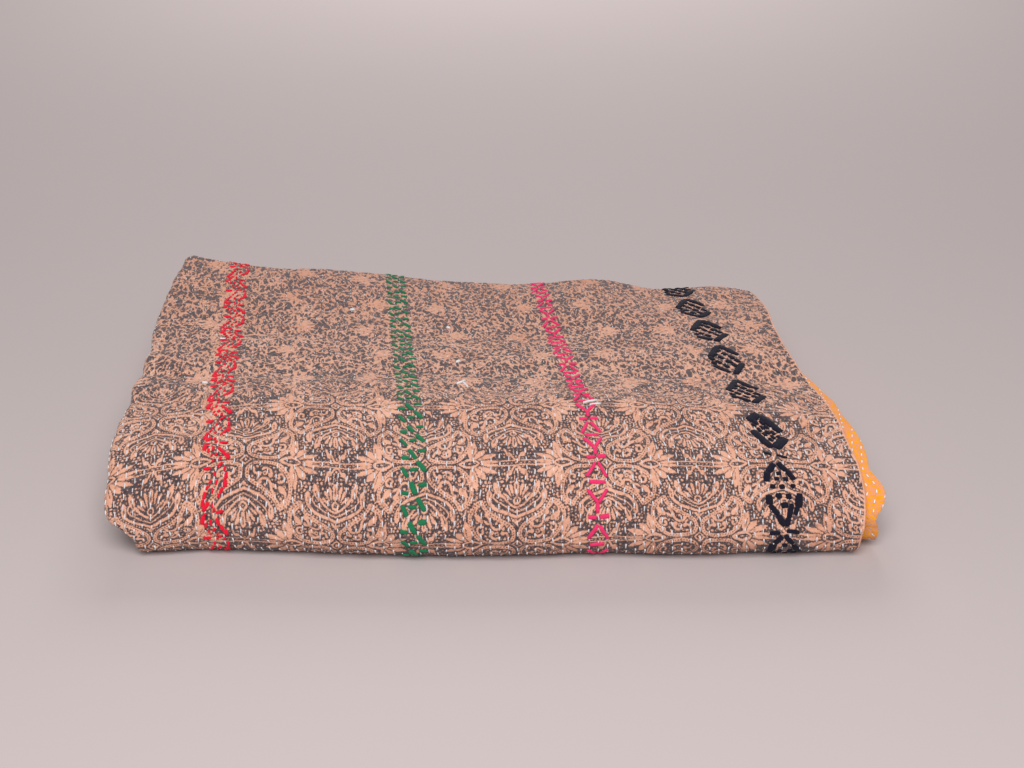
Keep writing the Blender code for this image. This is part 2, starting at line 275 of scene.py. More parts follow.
def ply_middle(across, place):
    """Point of the quilt's middle surface.

    across is the flat distance from the left fold, positive on the ply whose
    print faces out of the bundle; place is the run number plus a share of it.
    Across, the cloth turns half a circle round the left fold and runs straight
    to both hems; along, the pair of plies follows run_centre.  Then come the
    swells, the sag of the under ply, the height of the top, which stretches
    every level in proportion, and the lean of the front.
    """
    left, hem, overhang = read_columns(EDGE_TABLE, place)
    turn = np.clip(across / FOLD_RADIUS, -np.pi / 2, np.pi / 2)
    inward = FOLD_RADIUS * (1 - np.cos(turn)) + np.maximum(np.abs(across) - QUARTER_TURN, 0)
    full_inward = FLAT_HALF_WIDTH - TURN_SLACK
    side = FOLD_RADIUS * np.sin(turn)
    passing = np.where(across < 0, overhang * (inward / full_inward) ** 2, 0)
    x = left + inward * (hem - left) / full_inward + passing
    back_shift, outer_end, inner_end = read_columns(REAR_TABLE, x)
    step = UNDER_PLY_END_STEP * (0.5 - 0.5 * side / FOLD_RADIUS)
    depth, height, facing_depth, facing_height = run_centre(
        place, outer_end + step, inner_end - step
    )
    depth = depth + side * facing_depth
    height = height + side * facing_height
    rear_pull = np.clip((depth - FRONT_AXIS_DEPTH) / (BACK_AXIS_DEPTH - FRONT_AXIS_DEPTH), 0, 1)
    upper = np.clip((height - FRONT_AXIS_HEIGHT) / FRONT_AXIS_DEPTH, 0, 1)
    depth = depth + back_shift * rear_pull ** 2 * upper
    level = (height - LOWEST_LEVEL) / STACK_RISE
    loose = np.sin(np.pi * np.clip(level, 0, 1)) ** 0.5 * np.clip(level * LOOSE_RAMP, 0, 1)
    for swell, waves_across, waves_deep, start, ply_turn in SWELLS:
        phase = 2 * np.pi * (waves_across * x + waves_deep * depth) + start
        height = height + swell * loose * np.sin(phase + ply_turn * level * (PLIES - 1))
    near_hem = np.clip((inward / full_inward - 1) / SAG_REACH + 1, 0, 1)
    sag = near_hem ** 2 * np.exp(-(((place - SAG_PLACE) / SAG_SPREAD) ** 2)) * (across < 0)
    top = smooth_table(HEIGHT_X, HEIGHT_ROWS, x, depth)
    stretch = (top - LOWEST_LEVEL) / (STACK_HEIGHT - LOWEST_LEVEL)
    height = LOWEST_LEVEL + (height - SAG_DOWN * sag - LOWEST_LEVEL) * stretch
    fade = eased(np.clip(1 - depth / FRONT_LEAN_REACH, 0, 1))
    (forward,) = read_columns(FRONT_TABLE, x)
    depth = depth + (FRONT_LEAN * (height - FRONT_AXIS_HEIGHT) + forward) * fade
    depth = depth - SAG_FORWARD * sag
    return np.stack([x - BODY_CENTRE[0], depth - BODY_CENTRE[1], height], axis=-1)


def middle_and_facing(across, place):
    """Middle points and unit vectors that point out on the printed side.

    A vector is the cross product of the steps across and along.
    """
    points = ply_middle(across, place)
    wide = ply_middle(across + NUDGE, place) - ply_middle(across - NUDGE, place)
    inside = np.clip(place, NUDGE, RUNS - NUDGE)
    long = ply_middle(across, inside + NUDGE) - ply_middle(across, inside - NUDGE)
    facing = np.cross(wide, long)
    facing /= np.linalg.norm(facing, axis=-1, keepdims=True)
    return points, facing


# ---- the cloth's own measures ----------------------------------------------
# u runs across the cloth in x at the front and v along it from the front row,
# the line of the cloth that lies this high on the front fold
FRONT_ROW_HEIGHT = 0.072
BACKWARD_SKEW = 0.105
SKEW_END = 0.55
FRONT_SKEW = 0.07
FRONT_SKEW_DEPTH = 0.12
FRONT_SKEW_RAMP = (0.05, 0.25)
# how far the print has crept backwards on the cloth
DRIFT_U = (-0.33, -0.25, -0.15, 0.02, 0.18, 0.28)
DRIFT_ROWS = (
    # v, then the drift at each DRIFT_U
    (-0.100, -0.0150, -0.0039, -0.0020, 0.0051, 0.0142, 0.0146),
    (-0.067, -0.0150, -0.0039, -0.0020, 0.0051, 0.0142, 0.0146),
    (0.000, -0.0137, 0.0028, 0.0025, 0.0074, 0.0076, 0.0080),
    (0.034, -0.0146, -0.0008, 0.0032, 0.0072, 0.0098, 0.0088),
    (0.067, -0.0096, -0.0006, 0.0047, 0.0088, 0.0128, 0.0110),
    (0.100, -0.0108, -0.0021, 0.0019, 0.0048, 0.0095, 0.0101),
    (0.135, -0.0103, -0.0032, -0.0020, 0.0043, 0.0095, 0.0076),
    (0.202, -0.0056, -0.0024, -0.0007, 0.0075, 0.0145, 0.0104),
    (0.270, -0.0036, -0.0028, -0.0012, 0.0042, 0.0137, 0.0086),
    (0.340, -0.0062, -0.0055, -0.0070, 0.0048, 0.0135, 0.0076),
    (0.410, -0.0100, -0.0100, -0.0105, 0.0000, 0.0110, 0.0060),
)
# rows of running stitch, one stitch of them, and the reach of each kind of relief
ROW_PITCH = 0.0073
ROW_START = 0.0030
STITCH_PITCH = 0.0084
STITCH_LENGTH = 0.0053
STITCH_WIDTH = 0.0013
STITCH_RISE = 0.00070
ROW_HILL = 0.00050
RIPPLE = 0.00045
CRINKLE = 0.00045
SWELL = 0.0008
# even part of the hills and how much they vary, and the dip at each stitch as a
# share of a ripple
HILL_EVEN, HILL_VARIES = 0.8, 0.5
DIP_SHARE = 0.4
HEM_ROUNDING = 0.0016
HEM_RIM_SHARE = 0.1
# grid lines in the rounding of a hem, as shares of it, and round the left fold
RIM_INSETS = (0.62, 0.3, 0.1, 0.0)
TURN_CELLS = 10
# where the shown part of the face cloth starts and ends along the bundle, and
# how far it reaches round the left fold
OUTER_START = 0.90
OUTER_END = 4.10
OUTER_EDGE = -0.022
# reach, radians a metre and start of the waves that every stitch row follows
ROW_WANDERS = ((0.0006, 48.0, 0.0), (0.0004, 133.0, 1.0))
# share of the stitch pitch by which each row starts later than the one before,
# and the reach and rate of the wave by which this varies
ROW_LATE = 0.5
ROW_LATE_VARIES = 0.13
ROW_LATE_TURN = 1.7
# how far the print lies to the left of its even lattice
PRINT_CREEP_U = (-0.33, -0.25, -0.15, -0.05, 0.10, 0.18, 0.24, 0.30)
PRINT_CREEP = (-0.004, -0.001, -0.003, 0.0, 0.002, 0.006, 0.011, 0.013)
# cell size along u and along v, and the seed, of each noise of the relief
HILL_CELLS = (0.021, 0.034, 3)
RIPPLE_CELLS = (0.017, 0.0052, 5)
CRINKLE_CELLS = (0.0075, 0.0105, 8)
SWELL_CELLS = (0.048, 0.027, 11)
# listed creases: soft troughs (-) and ridges (+) on the outer ply
CREASES = (
    # u, v, turn in degrees, half length, half width, height
    (-0.275, 0.150, -18.0, 0.050, 0.012, -0.0022),
    (-0.245, 0.176, -10.0, 0.070, 0.013, 0.0016),
    (-0.290, 0.098, -14.0, 0.045, 0.011, -0.0020),
    (-0.298, -0.045, 72.0, 0.038, 0.013, -0.0030),
    (-0.190, 0.246, 6.0, 0.070, 0.015, -0.0014),
    (-0.120, 0.118, 4.0, 0.100, 0.013, 0.0014),
    (0.060, 0.160, 3.0, 0.120, 0.015, -0.0012),
    (0.215, 0.300, -20.0, 0.055, 0.016, 0.0016),
    (0.262, 0.325, 62.0, 0.050, 0.015, -0.0020),
    (-0.040, -0.052, 2.0, 0.100, 0.011, 0.0012),
    (0.190, -0.040, -5.0, 0.070, 0.012, -0.0012),
)
# cells after which a noise repeats, points on a measured line, and passes in
# which u and v settle
LATTICE = 61
LENGTH_KNOTS = 2801
PASSES = 4
# keeps a reading inside the last cell of its table
LAST_CELL = 1.001
# the lines along which the cloth is measured, the one that gives the front row
# and the number of the one whose lengths stand for the whole width
LINE_ACROSS = np.linspace(0.01, 0.63, 32)
FRONT_LINE_ACROSS = 0.30
MIDDLE_LINE = 15
# places between which the front row lies
FRONT_PART = (1.4, 2.2)


def line_lengths(across):
    """Places along one lengthwise line, the path length to each and the line.

    A path length is the sum of the straight steps from the outer end.
    """
    place = np.linspace(0, RUNS, LENGTH_KNOTS)
    line = ply_middle(np.full_like(place, across), place)
    steps = np.linalg.norm(np.diff(line, axis=0), axis=1)
    return place, np.concatenate([[0.0], np.cumsum(steps)]), line


def length_rows(side):
    """Path length from the front row along the line at each LINE_ACROSS."""
    rows = [line_lengths(side * across)[1] for across in LINE_ACROSS]
    return np.stack([row - np.interp(front_row_place, place_table, row) for row in rows])


place_table, _, front_line = line_lengths(FRONT_LINE_ACROSS)
front_part = (place_table > FRONT_PART[0]) & (place_table < FRONT_PART[1])
front_row_place = np.interp(
    FRONT_ROW_HEIGHT, front_line[front_part, 2], place_table[front_part]
)
upper_rows = length_rows(1)
under_rows = length_rows(-1)
upper_length = upper_rows[MIDDLE_LINE]
length_knots = np.linspace(upper_rows.min(), upper_rows.max(), LENGTH_KNOTS)
place_rows = np.stack([np.interp(length_knots, row, place_table) for row in upper_rows])


def read_rows(rows, knots, across, along):
    """Value of a table with one row for each LINE_ACROSS, straight between."""
    across_step = LINE_ACROSS[1] - LINE_ACROSS[0]
    row = np.clip((across - LINE_ACROSS[0]) / across_step, 0, len(rows) - LAST_CELL)
    column = np.clip((along - knots[0]) / (knots[1] - knots[0]), 0, len(knots) - LAST_CELL)
    i, j = row.astype(int), column.astype(int)
    low = between(rows[i, j], rows[i, j + 1], column - j)
    high = between(rows[i + 1, j], rows[i + 1, j + 1], column - j)
    return between(low, high, row - i)


def edge_line(place):
    """x of the left fold at each place, and the length in x of a flat metre."""
    left, hem, _ = read_columns(EDGE_TABLE, place)
    return left - BODY_CENTRE[0], (hem - left) / (FLAT_HALF_WIDTH - TURN_SLACK)


def skew(u, v):
    """Sideways lean of the cloth's long threads at a place on the cloth.

    It grows evenly with v towards the rear, and with -v down the front, there
    times the eased share of the way to the right.
    """
    start, end = FRONT_SKEW_RAMP
    right = eased(np.clip((u - start) / (end - start), 0, 1))
    front = FRONT_SKEW * right * np.clip(v, -FRONT_SKEW_DEPTH, 0)
    return BACKWARD_SKEW * np.clip(v, 0, SKEW_END) + front


def drift(u, v):
    """How far the print has crept along the cloth: the smooth DRIFT_ROWS."""
    return smooth_table(DRIFT_U, DRIFT_ROWS, u, v)


def cloth_place(across, place):
    """Place on the cloth, u and v, of a place in the bundle.

    v is the path length less the drift and u is x plus the skew, each worked
    out from the other in a few passes.
    """
    left, scale = edge_line(place)
    share = eased(np.clip(across / QUARTER_TURN * 0.5 + 0.5, 0, 1))
    upper = read_rows(upper_rows, place_table, np.abs(across), place)
    under = read_rows(under_rows, place_table, np.abs(across), place)
    length = between(under, upper, share)
    x = left + (across - TURN_SLACK) * scale
    u, v = x, length
    for _ in range(PASSES):
        v = length - drift(u, v)
        u = x + skew(u, v)
    return u, v


def bundle_place(u, v):
    """The reverse of cloth_place on the ply whose print faces out."""
    across = np.full(np.shape(u), FRONT_LINE_ACROSS)
    for _ in range(PASSES):
        place = read_rows(place_rows, length_knots, np.abs(across), v + drift(u, v))
        left, scale = edge_line(place)
        across = (u - skew(u, v) - left) / scale + TURN_SLACK
    return across, place


def cloth_noise(u, v, cells):
    """Smooth noise from -1 to 1: a seeded lattice of numbers, eased between."""
    cell_u, cell_v, seed = cells
    table = np.random.default_rng(seed).uniform(-1, 1, (LATTICE, LATTICE))
    x, y = u / cell_u, v / cell_v
    i, j = np.floor(x).astype(int), np.floor(y).astype(int)
    along, up = eased(x - i), eased(y - j)
    i, j, next_i, next_j = (k % LATTICE for k in (i, j, i + 1, j + 1))
    low = between(table[i, j], table[next_i, j], along)
    high = between(table[i, next_j], table[next_i, next_j], along)
    return between(low, high, up)


def row_wander(v):
    """How far a row of stitches strays sideways: the sum of ROW_WANDERS."""
    return sum(reach * np.sin(v * rate + start) for reach, rate, start in ROW_WANDERS)


def row_phase(number):
    """Share of a stitch pitch by which a row starts late."""
    return ROW_LATE * number + ROW_LATE_VARIES * np.sin(ROW_LATE_TURN * number)


def puckers(u, v):
    """Short relief: hills between the rows, ripples across them and crinkles.

    The hills are half of 1 - cos(2 pi row), so zero on a row, where each stitch
    draws the cloth down by a cosine of its own pitch.
    """
    row = (u - ROW_START - row_wander(v)) / ROW_PITCH
    hills = 0.5 - 0.5 * np.cos(2 * np.pi * row)
    dash = np.cos(2 * np.pi * (v / STITCH_PITCH + row_phase(np.round(row))))
    bulges = cloth_noise(u, v, HILL_CELLS)
    height = ROW_HILL * (hills - 0.5) * (HILL_EVEN + HILL_VARIES * bulges)
    height = height - DIP_SHARE * RIPPLE * dash * (1 - hills)
    height = height + RIPPLE * cloth_noise(u, v, RIPPLE_CELLS)
    return height + CRINKLE * cloth_noise(u, v, CRINKLE_CELLS)


def creases(u, v):
    """Long relief: eased noise and the listed creases.

    Each crease is its height times exp(-along^4 - aside^2), with along and
    aside counted in its half length and half width.
    """
    height = SWELL * cloth_noise(u, v, SWELL_CELLS)
    for centre_u, centre_v, turn, half_length, half_width, rise in CREASES:
        c, s = math.cos(math.radians(turn)), math.sin(math.radians(turn))
        along = ((u - centre_u) * c + (v - centre_v) * s) / half_length
        aside = ((v - centre_v) * c - (u - centre_u) * s) / half_width
        height = height + rise * np.exp(-along ** 4 - aside ** 2)
    return height


def hem_thinning(across):
    """Share of the thickness kept near a hem, a quarter ellipse to its edge."""
    inset = np.clip((FLAT_HALF_WIDTH - np.abs(across)) / HEM_ROUNDING, 0, 1)
    return between(HEM_RIM_SHARE, 1.0, np.sqrt(np.clip(1 - (1 - inset) ** 2, 0, 1)))


def over_floor(points):
    """The same points, with none of them closer to the floor than its gap."""
    points[..., 2] = np.maximum(points[..., 2], FLOOR_GAP)
    return points


def face_point(across, place, lift=0.0):
    """Point on the printed side: middle + facing (half ply + relief + lift)."""
    middle, facing = middle_and_facing(across, place)
    on_cloth = cloth_place(across, place)
    rise = HALF_PLY + puckers(*on_cloth) + creases(*on_cloth) + lift
    return over_floor(middle + facing * np.asarray(rise)[..., None])


# ---- meshes ----------------------------------------------------------------
# width and height of a skin in the map for baking, and start of the lower one
BAKE_WIDE = 0.49
BAKE_TALL = 0.99
LOWER_SKIN = 0.5


def make_piece(name, vertices, faces, material, maps=None):
    """Mesh object at the origin from vertex rows, face rows and corner maps."""
    mesh = bpy.data.meshes.new(name)
    mesh.vertices.add(len(vertices))
    mesh.vertices.foreach_set("co", np.asarray(vertices, np.float32).ravel())
    faces = np.asarray(faces, np.int32)
    mesh.loops.add(faces.size)
    mesh.loops.foreach_set("vertex_index", faces.ravel())
    mesh.polygons.add(len(faces))
    starts = np.arange(0, faces.size, faces.shape[1], dtype=np.int32)
    mesh.polygons.foreach_set("loop_start", starts)
    mesh.polygons.foreach_set("use_smooth", np.ones(len(faces), bool))
    mesh.update(calc_edges=True)
    for label, pairs in (maps or {}).items():
        layer = mesh.uv_layers.new(name=label)
        layer.uv.foreach_set("vector", pairs[faces.ravel()].astype(np.float32).ravel())
    mesh.validate()
    mesh.materials.append(material)
    made = bpy.data.objects.new(name, mesh)
    bpy.context.scene.collection.objects.link(made)
    return made


def cell_corners(wide, long):
    """Corner numbers of each cell of a grid of points, in turn round it."""
    number = np.arange(wide * long).reshape(wide, long)
    return np.stack(
        [number[:-1, :-1], number[1:, :-1], number[1:, 1:], number[:-1, 1:]], axis=-1
    )


def slab(name, across, place, top, bottom, kept, material):
    """Closed sheet of cloth between two grids of points.

    The kept cells of the grid make the upper and lower skins, and each cell
    side that has a kept cell on one hand only gets a wall.
    """
    wide, long = across.shape
    skin = wide * long
    corners = cell_corners(wide, long)
    lower = corners[..., [0, 3, 2, 1]] + skin
    faces = [corners[kept], lower[kept]]
    ring = np.zeros((wide + 1, long + 1), bool)
    ring[1:-1, 1:-1] = kept
    sides = (
        # neighbour step, corners of the cell on that side
        ((-1, 0), 3, 0),
        ((1, 0), 1, 2),
        ((0, -1), 0, 1),
        ((0, 1), 2, 3),
    )
    for (step_x, step_y), first, second in sides:
        beside = ring[1 + step_x : wide + step_x, 1 + step_y : long + step_y]
        edge = kept & ~beside
        start, end = corners[..., first][edge], corners[..., second][edge]
        faces.append(np.stack([start, start + skin, end + skin, end], axis=-1))
    vertices = np.concatenate([top.reshape(-1, 3), bottom.reshape(-1, 3)])
    used, faces = np.unique(np.concatenate(faces), return_inverse=True)
    is_lower, spot = np.divmod(used, skin)
    u, v = cloth_place(across, place)
    creep = smooth_lookup(PRINT_CREEP_U, PRINT_CREEP, u)
    baked_u = (across - across.min()) / np.ptp(across) * BAKE_WIDE
    baked_v = (v - v.min()) / np.ptp(v) * BAKE_TALL
    pairs = {
        "cloth": (u, v),
        "print": (u + creep, v),
        "flat": (across, place),
        "OFBake": (baked_u, baked_v),
    }
    maps = {
        label: np.stack([grid.ravel()[spot] for grid in pair], axis=-1)
        for label, pair in pairs.items()
    }
    maps["OFBake"][:, 0] += LOWER_SKIN * is_lower
    return make_piece(name, vertices[used], faces.reshape(-1, 4), material, maps)


def across_places(first, last, cell):
    """Flat distances between two ends, closer round the left fold and the hems."""
    parts = [np.linspace(-QUARTER_TURN, QUARTER_TURN, TURN_CELLS + 1)]
    for side, end in ((1, last), (-1, -first)):
        stop = min(end, FLAT_HALF_WIDTH - HEM_ROUNDING)
        rim = FLAT_HALF_WIDTH - HEM_ROUNDING * np.array(RIM_INSETS if end > stop else ())
        count = max(1, round((stop - QUARTER_TURN) / cell))
        span = np.linspace(QUARTER_TURN, stop, count + 1)[1:]
        parts.append(side * np.concatenate([span, rim]))
    return np.sort(np.concatenate(parts))


def places_by_length(first, last, cell):
    """Places whose path lengths on the upper ply are evenly spaced."""
    start, end = np.interp([first, last], place_table, upper_length)
    count = round((end - start) / cell)
    places = np.interp(np.linspace(start, end, count + 1), upper_length, place_table)
    places[0], places[-1] = first, last
    return places


def boats(name, centres, turns, lengths, widths, rises, to_surface, material, shape):
    """Stitches as small boats: a rounded back, both ends under the cloth.

    Each row of centres is (u, v); turns are angles from u; the other arrays
    give full lengths, full widths and rises.  A point of a boat lies at
    (station, beam profile, beam crown) times (half length, width, rise), and
    to_surface puts (u, v, lift) on the cloth.
    """
    stations, beam, profile, crown = map(np.array, shape)
    wide, long = len(profile), len(stations)
    along = np.append(np.repeat(stations, wide), [-1.0, 1.0])
    aside = np.append(np.outer(beam, profile), [0.0, 0.0])
    high = np.append(np.outer(beam, crown), [-TIP_DEPTH, -TIP_DEPTH])
    run = along * lengths[:, None] / 2
    side = aside * widths[:, None]
    c, s = np.cos(turns)[:, None], np.sin(turns)[:, None]
    u = centres[:, :1] + run * c - side * s
    v = centres[:, 1:] + run * s + side * c
    points = to_surface(u, v, high * rises[:, None])
    quads = [
        (a, a + wide, a + wide + 1, a + 1)
        for station in range(long - 1)
        for a in range(station * wide, station * wide + wide - 1)
    ]
    quads += [
        (a, a + wide - 1, a + 2 * wide - 1, a + wide)
        for a in range(0, wide * (long - 1), wide)
    ]
    start, stop, last = wide * long, wide * long + 1, wide * (long - 1)
    tips = [(start, strip, strip + 1) for strip in range(wide - 1)]
    tips += [(stop, last + strip + 1, last + strip) for strip in range(wide - 1)]
    tips += [(start, wide - 1, 0), (stop, last, last + wide - 1)]
    halves = [half for q in quads for half in (q[:3], (q[0], q[2], q[3]))]
    boat = np.array(halves + tips)
    first = len(along) * np.arange(len(centres))
    faces = (boat + first[:, None, None]).reshape(-1, 3)
    thread = np.stack([run, side], axis=-1).reshape(-1, 2)
    return make_piece(name, points.reshape(-1, 3), faces, material, {"thread": thread})


# ---- the print: a small damask repeat drawn in chart steps ------------------
# metres in a chart step; the sizes of the chart below are in steps
CHART_STEP = 1 / 1200
# half the width and half the height of a repeat, and where one starts on the
# cloth in u and v, in metres
HALF_WIDE = 90.5
HALF_TALL = 81.0
PRINT_START = (-0.0708 - BODY_CENTRE[0], 0.0)
# numbers of rows and columns, and the distance from an edge at which the print
# is wholly light or dark
CHART_ROWS = 51
CHART_COLUMNS = 256
CHART_REACH = 2.2
# points on each cubic of a path, and a distance beyond every shape
PATH_STEPS = 6
FAR = 1e9
# share of its true size at which the distance beside a leaf counts
LEAF_SLOPE = 0.85
# slope, size and half thickness of the diamond in the middle
DIAMOND_SLOPE = 0.72
DIAMOND_REACH = 3.5
DIAMOND_HALF = 0.8
# half width of the paisley's band, and radius and spacing of its dark dots
SCROLL_HALF = 1.95
SCROLL_HOLE = 0.55
SCROLL_HOLE_STEP = 2.7
# base x, base y, tip x, tip y and half width of the bud between two fleurs
BUD = (54.0, 0.0, 32.6, 0.0, 6.0)
BUD_INSET = 1.5
BUD_RIM = 1.25
# x, radius and flatness of the seed in the bud
SEED_X = 44.0
SEED_RADIUS = 0.9
SEED_FLATNESS = 0.55
# small dots on the ground: distance of their rows, step along a row and the
# gap that they leave round the other shapes
GROUND_ROW = 3.8
GROUND_STEP = 4.1
GROUND_CLEARANCE = 1.25
# how far past the chart they go on, how far each strays, their radii, and the
# strips along a mirror line and a stem that they leave free
GROUND_MARGIN = 3
GROUND_STRAY_X, GROUND_STRAY_Y = 0.7, 0.6
GROUND_RADII = (0.75, 1.5)
MIRROR_HALF = 1.3
STEM_HALF = 2.4
STEM_SPAN = (6, 22)

SCROLL_BAND = (
    # x, y of the rounded paisley's band, from its tip round to its tip
    (34.8, 43.2), (32.6, 38.6), (27.0, 33.0), (19.0, 28.0), (10.5, 23.2), (4.6, 18.0),
    (3.0, 11.6), (5.4, 5.8), (12.0, 3.2), (22.0, 2.8), (32.0, 4.6), (39.6, 10.8),
    (44.8, 19.6), (46.2, 29.0), (44.0, 36.2), (39.6, 41.2), (36.4, 43.4),
)
STROKES = (
    # name, half thickness, points
    ("outer cup strand", 1.45, (
        (0.0, 28.4), (9.0, 31.8), (18.4, 35.0), (24.6, 39.8), (27.6, 46.0),
    )),
    ("middle cup strand", 0.70, (
        (0.0, 33.0), (8.0, 36.0), (14.4, 39.6), (20.0, 43.0), (23.4, 47.6), (21.4, 51.4),
    )),
    ("inner cup strand", 0.95, (
        (0.0, 36.8), (5.4, 39.0), (11.0, 43.2), (16.2, 48.6), (20.0, 54.0),
    )),
    ("first comma", 1.20, ((8.6, 9.0), (10.4, 13.2), (14.2, 14.2))),
    ("second comma", 1.30, ((17.8, 9.6), (21.2, 8.6), (25.4, 11.2), (25.6, 15.4))),
    ("hook", 1.15, (
        (33.4, 20.8), (37.6, 20.4), (39.0, 16.8), (36.6, 13.6), (33.4, 14.6), (33.6, 17.4),
    )),
    ("large comma", 1.25, (
        (14.0, 22.4), (17.0, 18.8), (21.8, 18.6), (25.6, 22.2), (27.2, 28.0), (30.6, 32.0),
    )),
    ("leaf tail", 1.00, ((40.4, 31.6), (40.6, 36.0), (37.0, 39.6))),
    ("bird wing", 1.15, ((0.0, 78.0), (2.6, 76.6), (4.4, 72.8), (8.2, 71.2), (10.0, 64.4))),
    ("bird tail", 0.55, ((9.6, 68.0), (10.6, 62.6))),
    ("stem", 0.35, ((1.5, 64.0), (2.0, 72.0))),
    ("cross bar", 0.75, ((62.0, 2.9), (88.6, 2.4))),
)
LEAVES = (
    # name, base x, base y, tip x, tip y, half width
    ("cup feather", 27.6, 54.4, 27.0, 40.0, 2.9),
    ("cup inner feather", 21.9, 61.8, 16.0, 45.6, 3.0),
    ("cup small leaf", 15.6, 49.6, 9.4, 40.6, 1.1),
    ("flower middle petal", 0.0, 62.4, 0.0, 46.6, 3.1),
    ("flower second petal", 6.6, 59.8, 2.9, 47.0, 2.1),
    ("flower third petal", 11.2, 56.0, 4.8, 46.0, 2.0),
    ("flower outer petal", 13.8, 50.4, 5.4, 43.6, 1.3),
    ("scroll leaf", 33.6, 24.4, 42.6, 33.0, 2.9),
    ("small scroll leaf", 27.4, 22.6, 33.0, 27.0, 1.5),
    ("low scroll leaf", 14.6, 16.2, 12.0, 20.4, 1.4),
    ("fleur tall leaf", 46.0, 5.4, 51.0, 27.0, 4.0),
    ("fleur second leaf", 49.6, 5.2, 60.0, 16.4, 4.5),
    ("fleur third leaf", 52.6, 4.0, 71.6, 10.6, 3.1),
    ("fleur low leaf", 54.4, 1.3, 74.0, 2.2, 2.0),
    ("bud top", 38.4, 3.6, 50.0, 6.6, 0.9),
    ("trefoil", 0.0, 20.6, 0.0, 27.0, 1.6),
    ("trefoil side", 0.6, 23.0, 5.0, 27.6, 1.2),
)
VEINS = (
    # name, half thickness, ends
    ("between tall and second leaf", 0.40, ((47.0, 5.2), (52.0, 13.0), (55.6, 21.0))),
    ("between second and third leaf", 0.40, ((50.6, 4.2), (58.0, 9.4), (64.0, 13.6))),
    ("between third and low leaf", 0.40, ((53.0, 2.8), (62.0, 4.6), (71.0, 6.2))),
    ("tall leaf vein", 0.25, ((48.4, 11.0), (50.4, 19.0))),
    ("middle petal vein", 0.40, ((0.0, 52.0), (0.0, 59.0))),
    ("beside the middle petal", 0.55, ((2.2, 46.6), (3.3, 61.0))),
    ("between outer petals", 0.55, ((4.2, 46.0), (8.4, 58.6))),
    ("under the third petal", 0.55, ((5.4, 44.8), (13.0, 55.0))),
    ("feather vein", 0.35, ((27.0, 43.6), (27.2, 49.6))),
    ("inside the inner feather", 0.35, ((17.6, 49.0), (20.2, 55.4))),
)
RINGS = (
    # name, x, y, radius, half thickness
    ("flower heart", 0.0, 42.8, 2.9, 0.95),
    ("ringlet", 36.0, 9.2, 1.8, 0.7),
    ("ringlet", 20.0, 13.6, 1.6, 0.7),
    ("ringlet", 39.2, 25.4, 1.4, 0.6),
)
DOTS = (
    # name, x, y, radius
    ("comma head", 14.6, 13.8, 2.3),
    ("comma head", 25.0, 15.0, 2.5),
    ("comma head", 29.6, 31.4, 2.0),
    ("bird head", 7.0, 71.2, 2.9),
    ("hook head", 33.8, 17.0, 1.5),
    ("comma head", 15.4, 21.8, 1.9),
    ("bead", 8.6, 16.6, 1.2), ("bead", 28.6, 8.2, 1.2), ("bead", 30.2, 11.4, 1.0),
    ("bead", 20.4, 24.0, 1.3), ("bead", 22.6, 28.0, 1.2), ("bead", 30.0, 36.0, 1.2),
    ("bead", 36.6, 36.0, 1.1), ("bead", 35.2, 41.2, 1.2), ("bead", 30.4, 19.0, 1.1),
    ("bead", 9.8, 20.4, 1.1), ("bead", 16.4, 25.2, 1.1), ("bead", 41.8, 20.6, 1.0),
)
BEAD_ROWS = (
    # spacing, radius, points: strings of beads on the dark ground
    (3.1, 0.85, (
        (8.0, 27.2), (14.5, 29.9), (20.6, 32.4), (26.6, 37.0), (31.0, 43.0),
        (33.0, 50.0), (33.4, 57.0),
    )),
    (3.2, 1.00, (
        (48.6, 12.0), (50.4, 18.6), (51.0, 26.0), (50.4, 34.0), (47.0, 41.0),
        (42.0, 46.4), (36.6, 48.0),
    )),
    (3.0, 1.00, ((16.4, 55.0), (18.4, 61.0), (20.0, 67.0))),
)


def to_polyline(x, y, points):
    """Distance to a string of straight pieces: the least distance to a piece."""
    best = np.full(np.shape(x), FAR)
    for (ax, ay), (bx, by) in zip(points, points[1:]):
        ex, ey = bx - ax, by - ay
        share = np.clip(((x - ax) * ex + (y - ay) * ey) / (ex * ex + ey * ey), 0, 1)
        best = np.minimum(best, np.hypot(x - ax - share * ex, y - ay - share * ey))
    return best


def to_leaf(x, y, base_x, base_y, tip_x, tip_y, half):
    """Distance past the edge of a leaf.

    Half its width at the share s of its length is half sin(pi s^0.8)^0.75.
    """
    length = np.hypot(tip_x - base_x, tip_y - base_y)
    ux, uy = (tip_x - base_x) / length, (tip_y - base_y) / length
    share = ((x - base_x) * ux + (y - base_y) * uy) / length
    aside = np.abs((y - base_y) * ux - (x - base_x) * uy)
    width = half * np.sin(np.pi * np.clip(share, 0, 1) ** 0.8) ** 0.75
    over = np.maximum(np.maximum(-share, share - 1), 0) * length
    return np.where(over > 0, np.hypot(over, aside), (aside - width) * LEAF_SLOPE)


def smooth_path(points):
    """Points on a cubic through each given one, its slope there half the step
    between the two neighbours."""
    p = np.asarray(points, float)
    q = np.vstack([2 * p[0] - p[1], p, 2 * p[-1] - p[-2]])
    s = (np.arange(PATH_STEPS) / PATH_STEPS)[:, None]
    pieces = [
        b + 0.5 * s * (c - a + s * (2 * a - 5 * b + 4 * c - d + s * (3 * b - a - 3 * c + d)))
        for a, b, c, d in zip(q, q[1:], q[2:], q[3:])
    ]
    return np.vstack([*pieces, p[-1:]])


def beads(points, spacing):
    """Points at an even spacing along the smooth path."""
    path = smooth_path(points)
    run = np.concatenate([[0], np.cumsum(np.hypot(*np.diff(path, axis=0).T))])
    at = np.arange(spacing / 2, run[-1], spacing)
    return np.stack([np.interp(at, run, path[:, 0]), np.interp(at, run, path[:, 1])], 1)


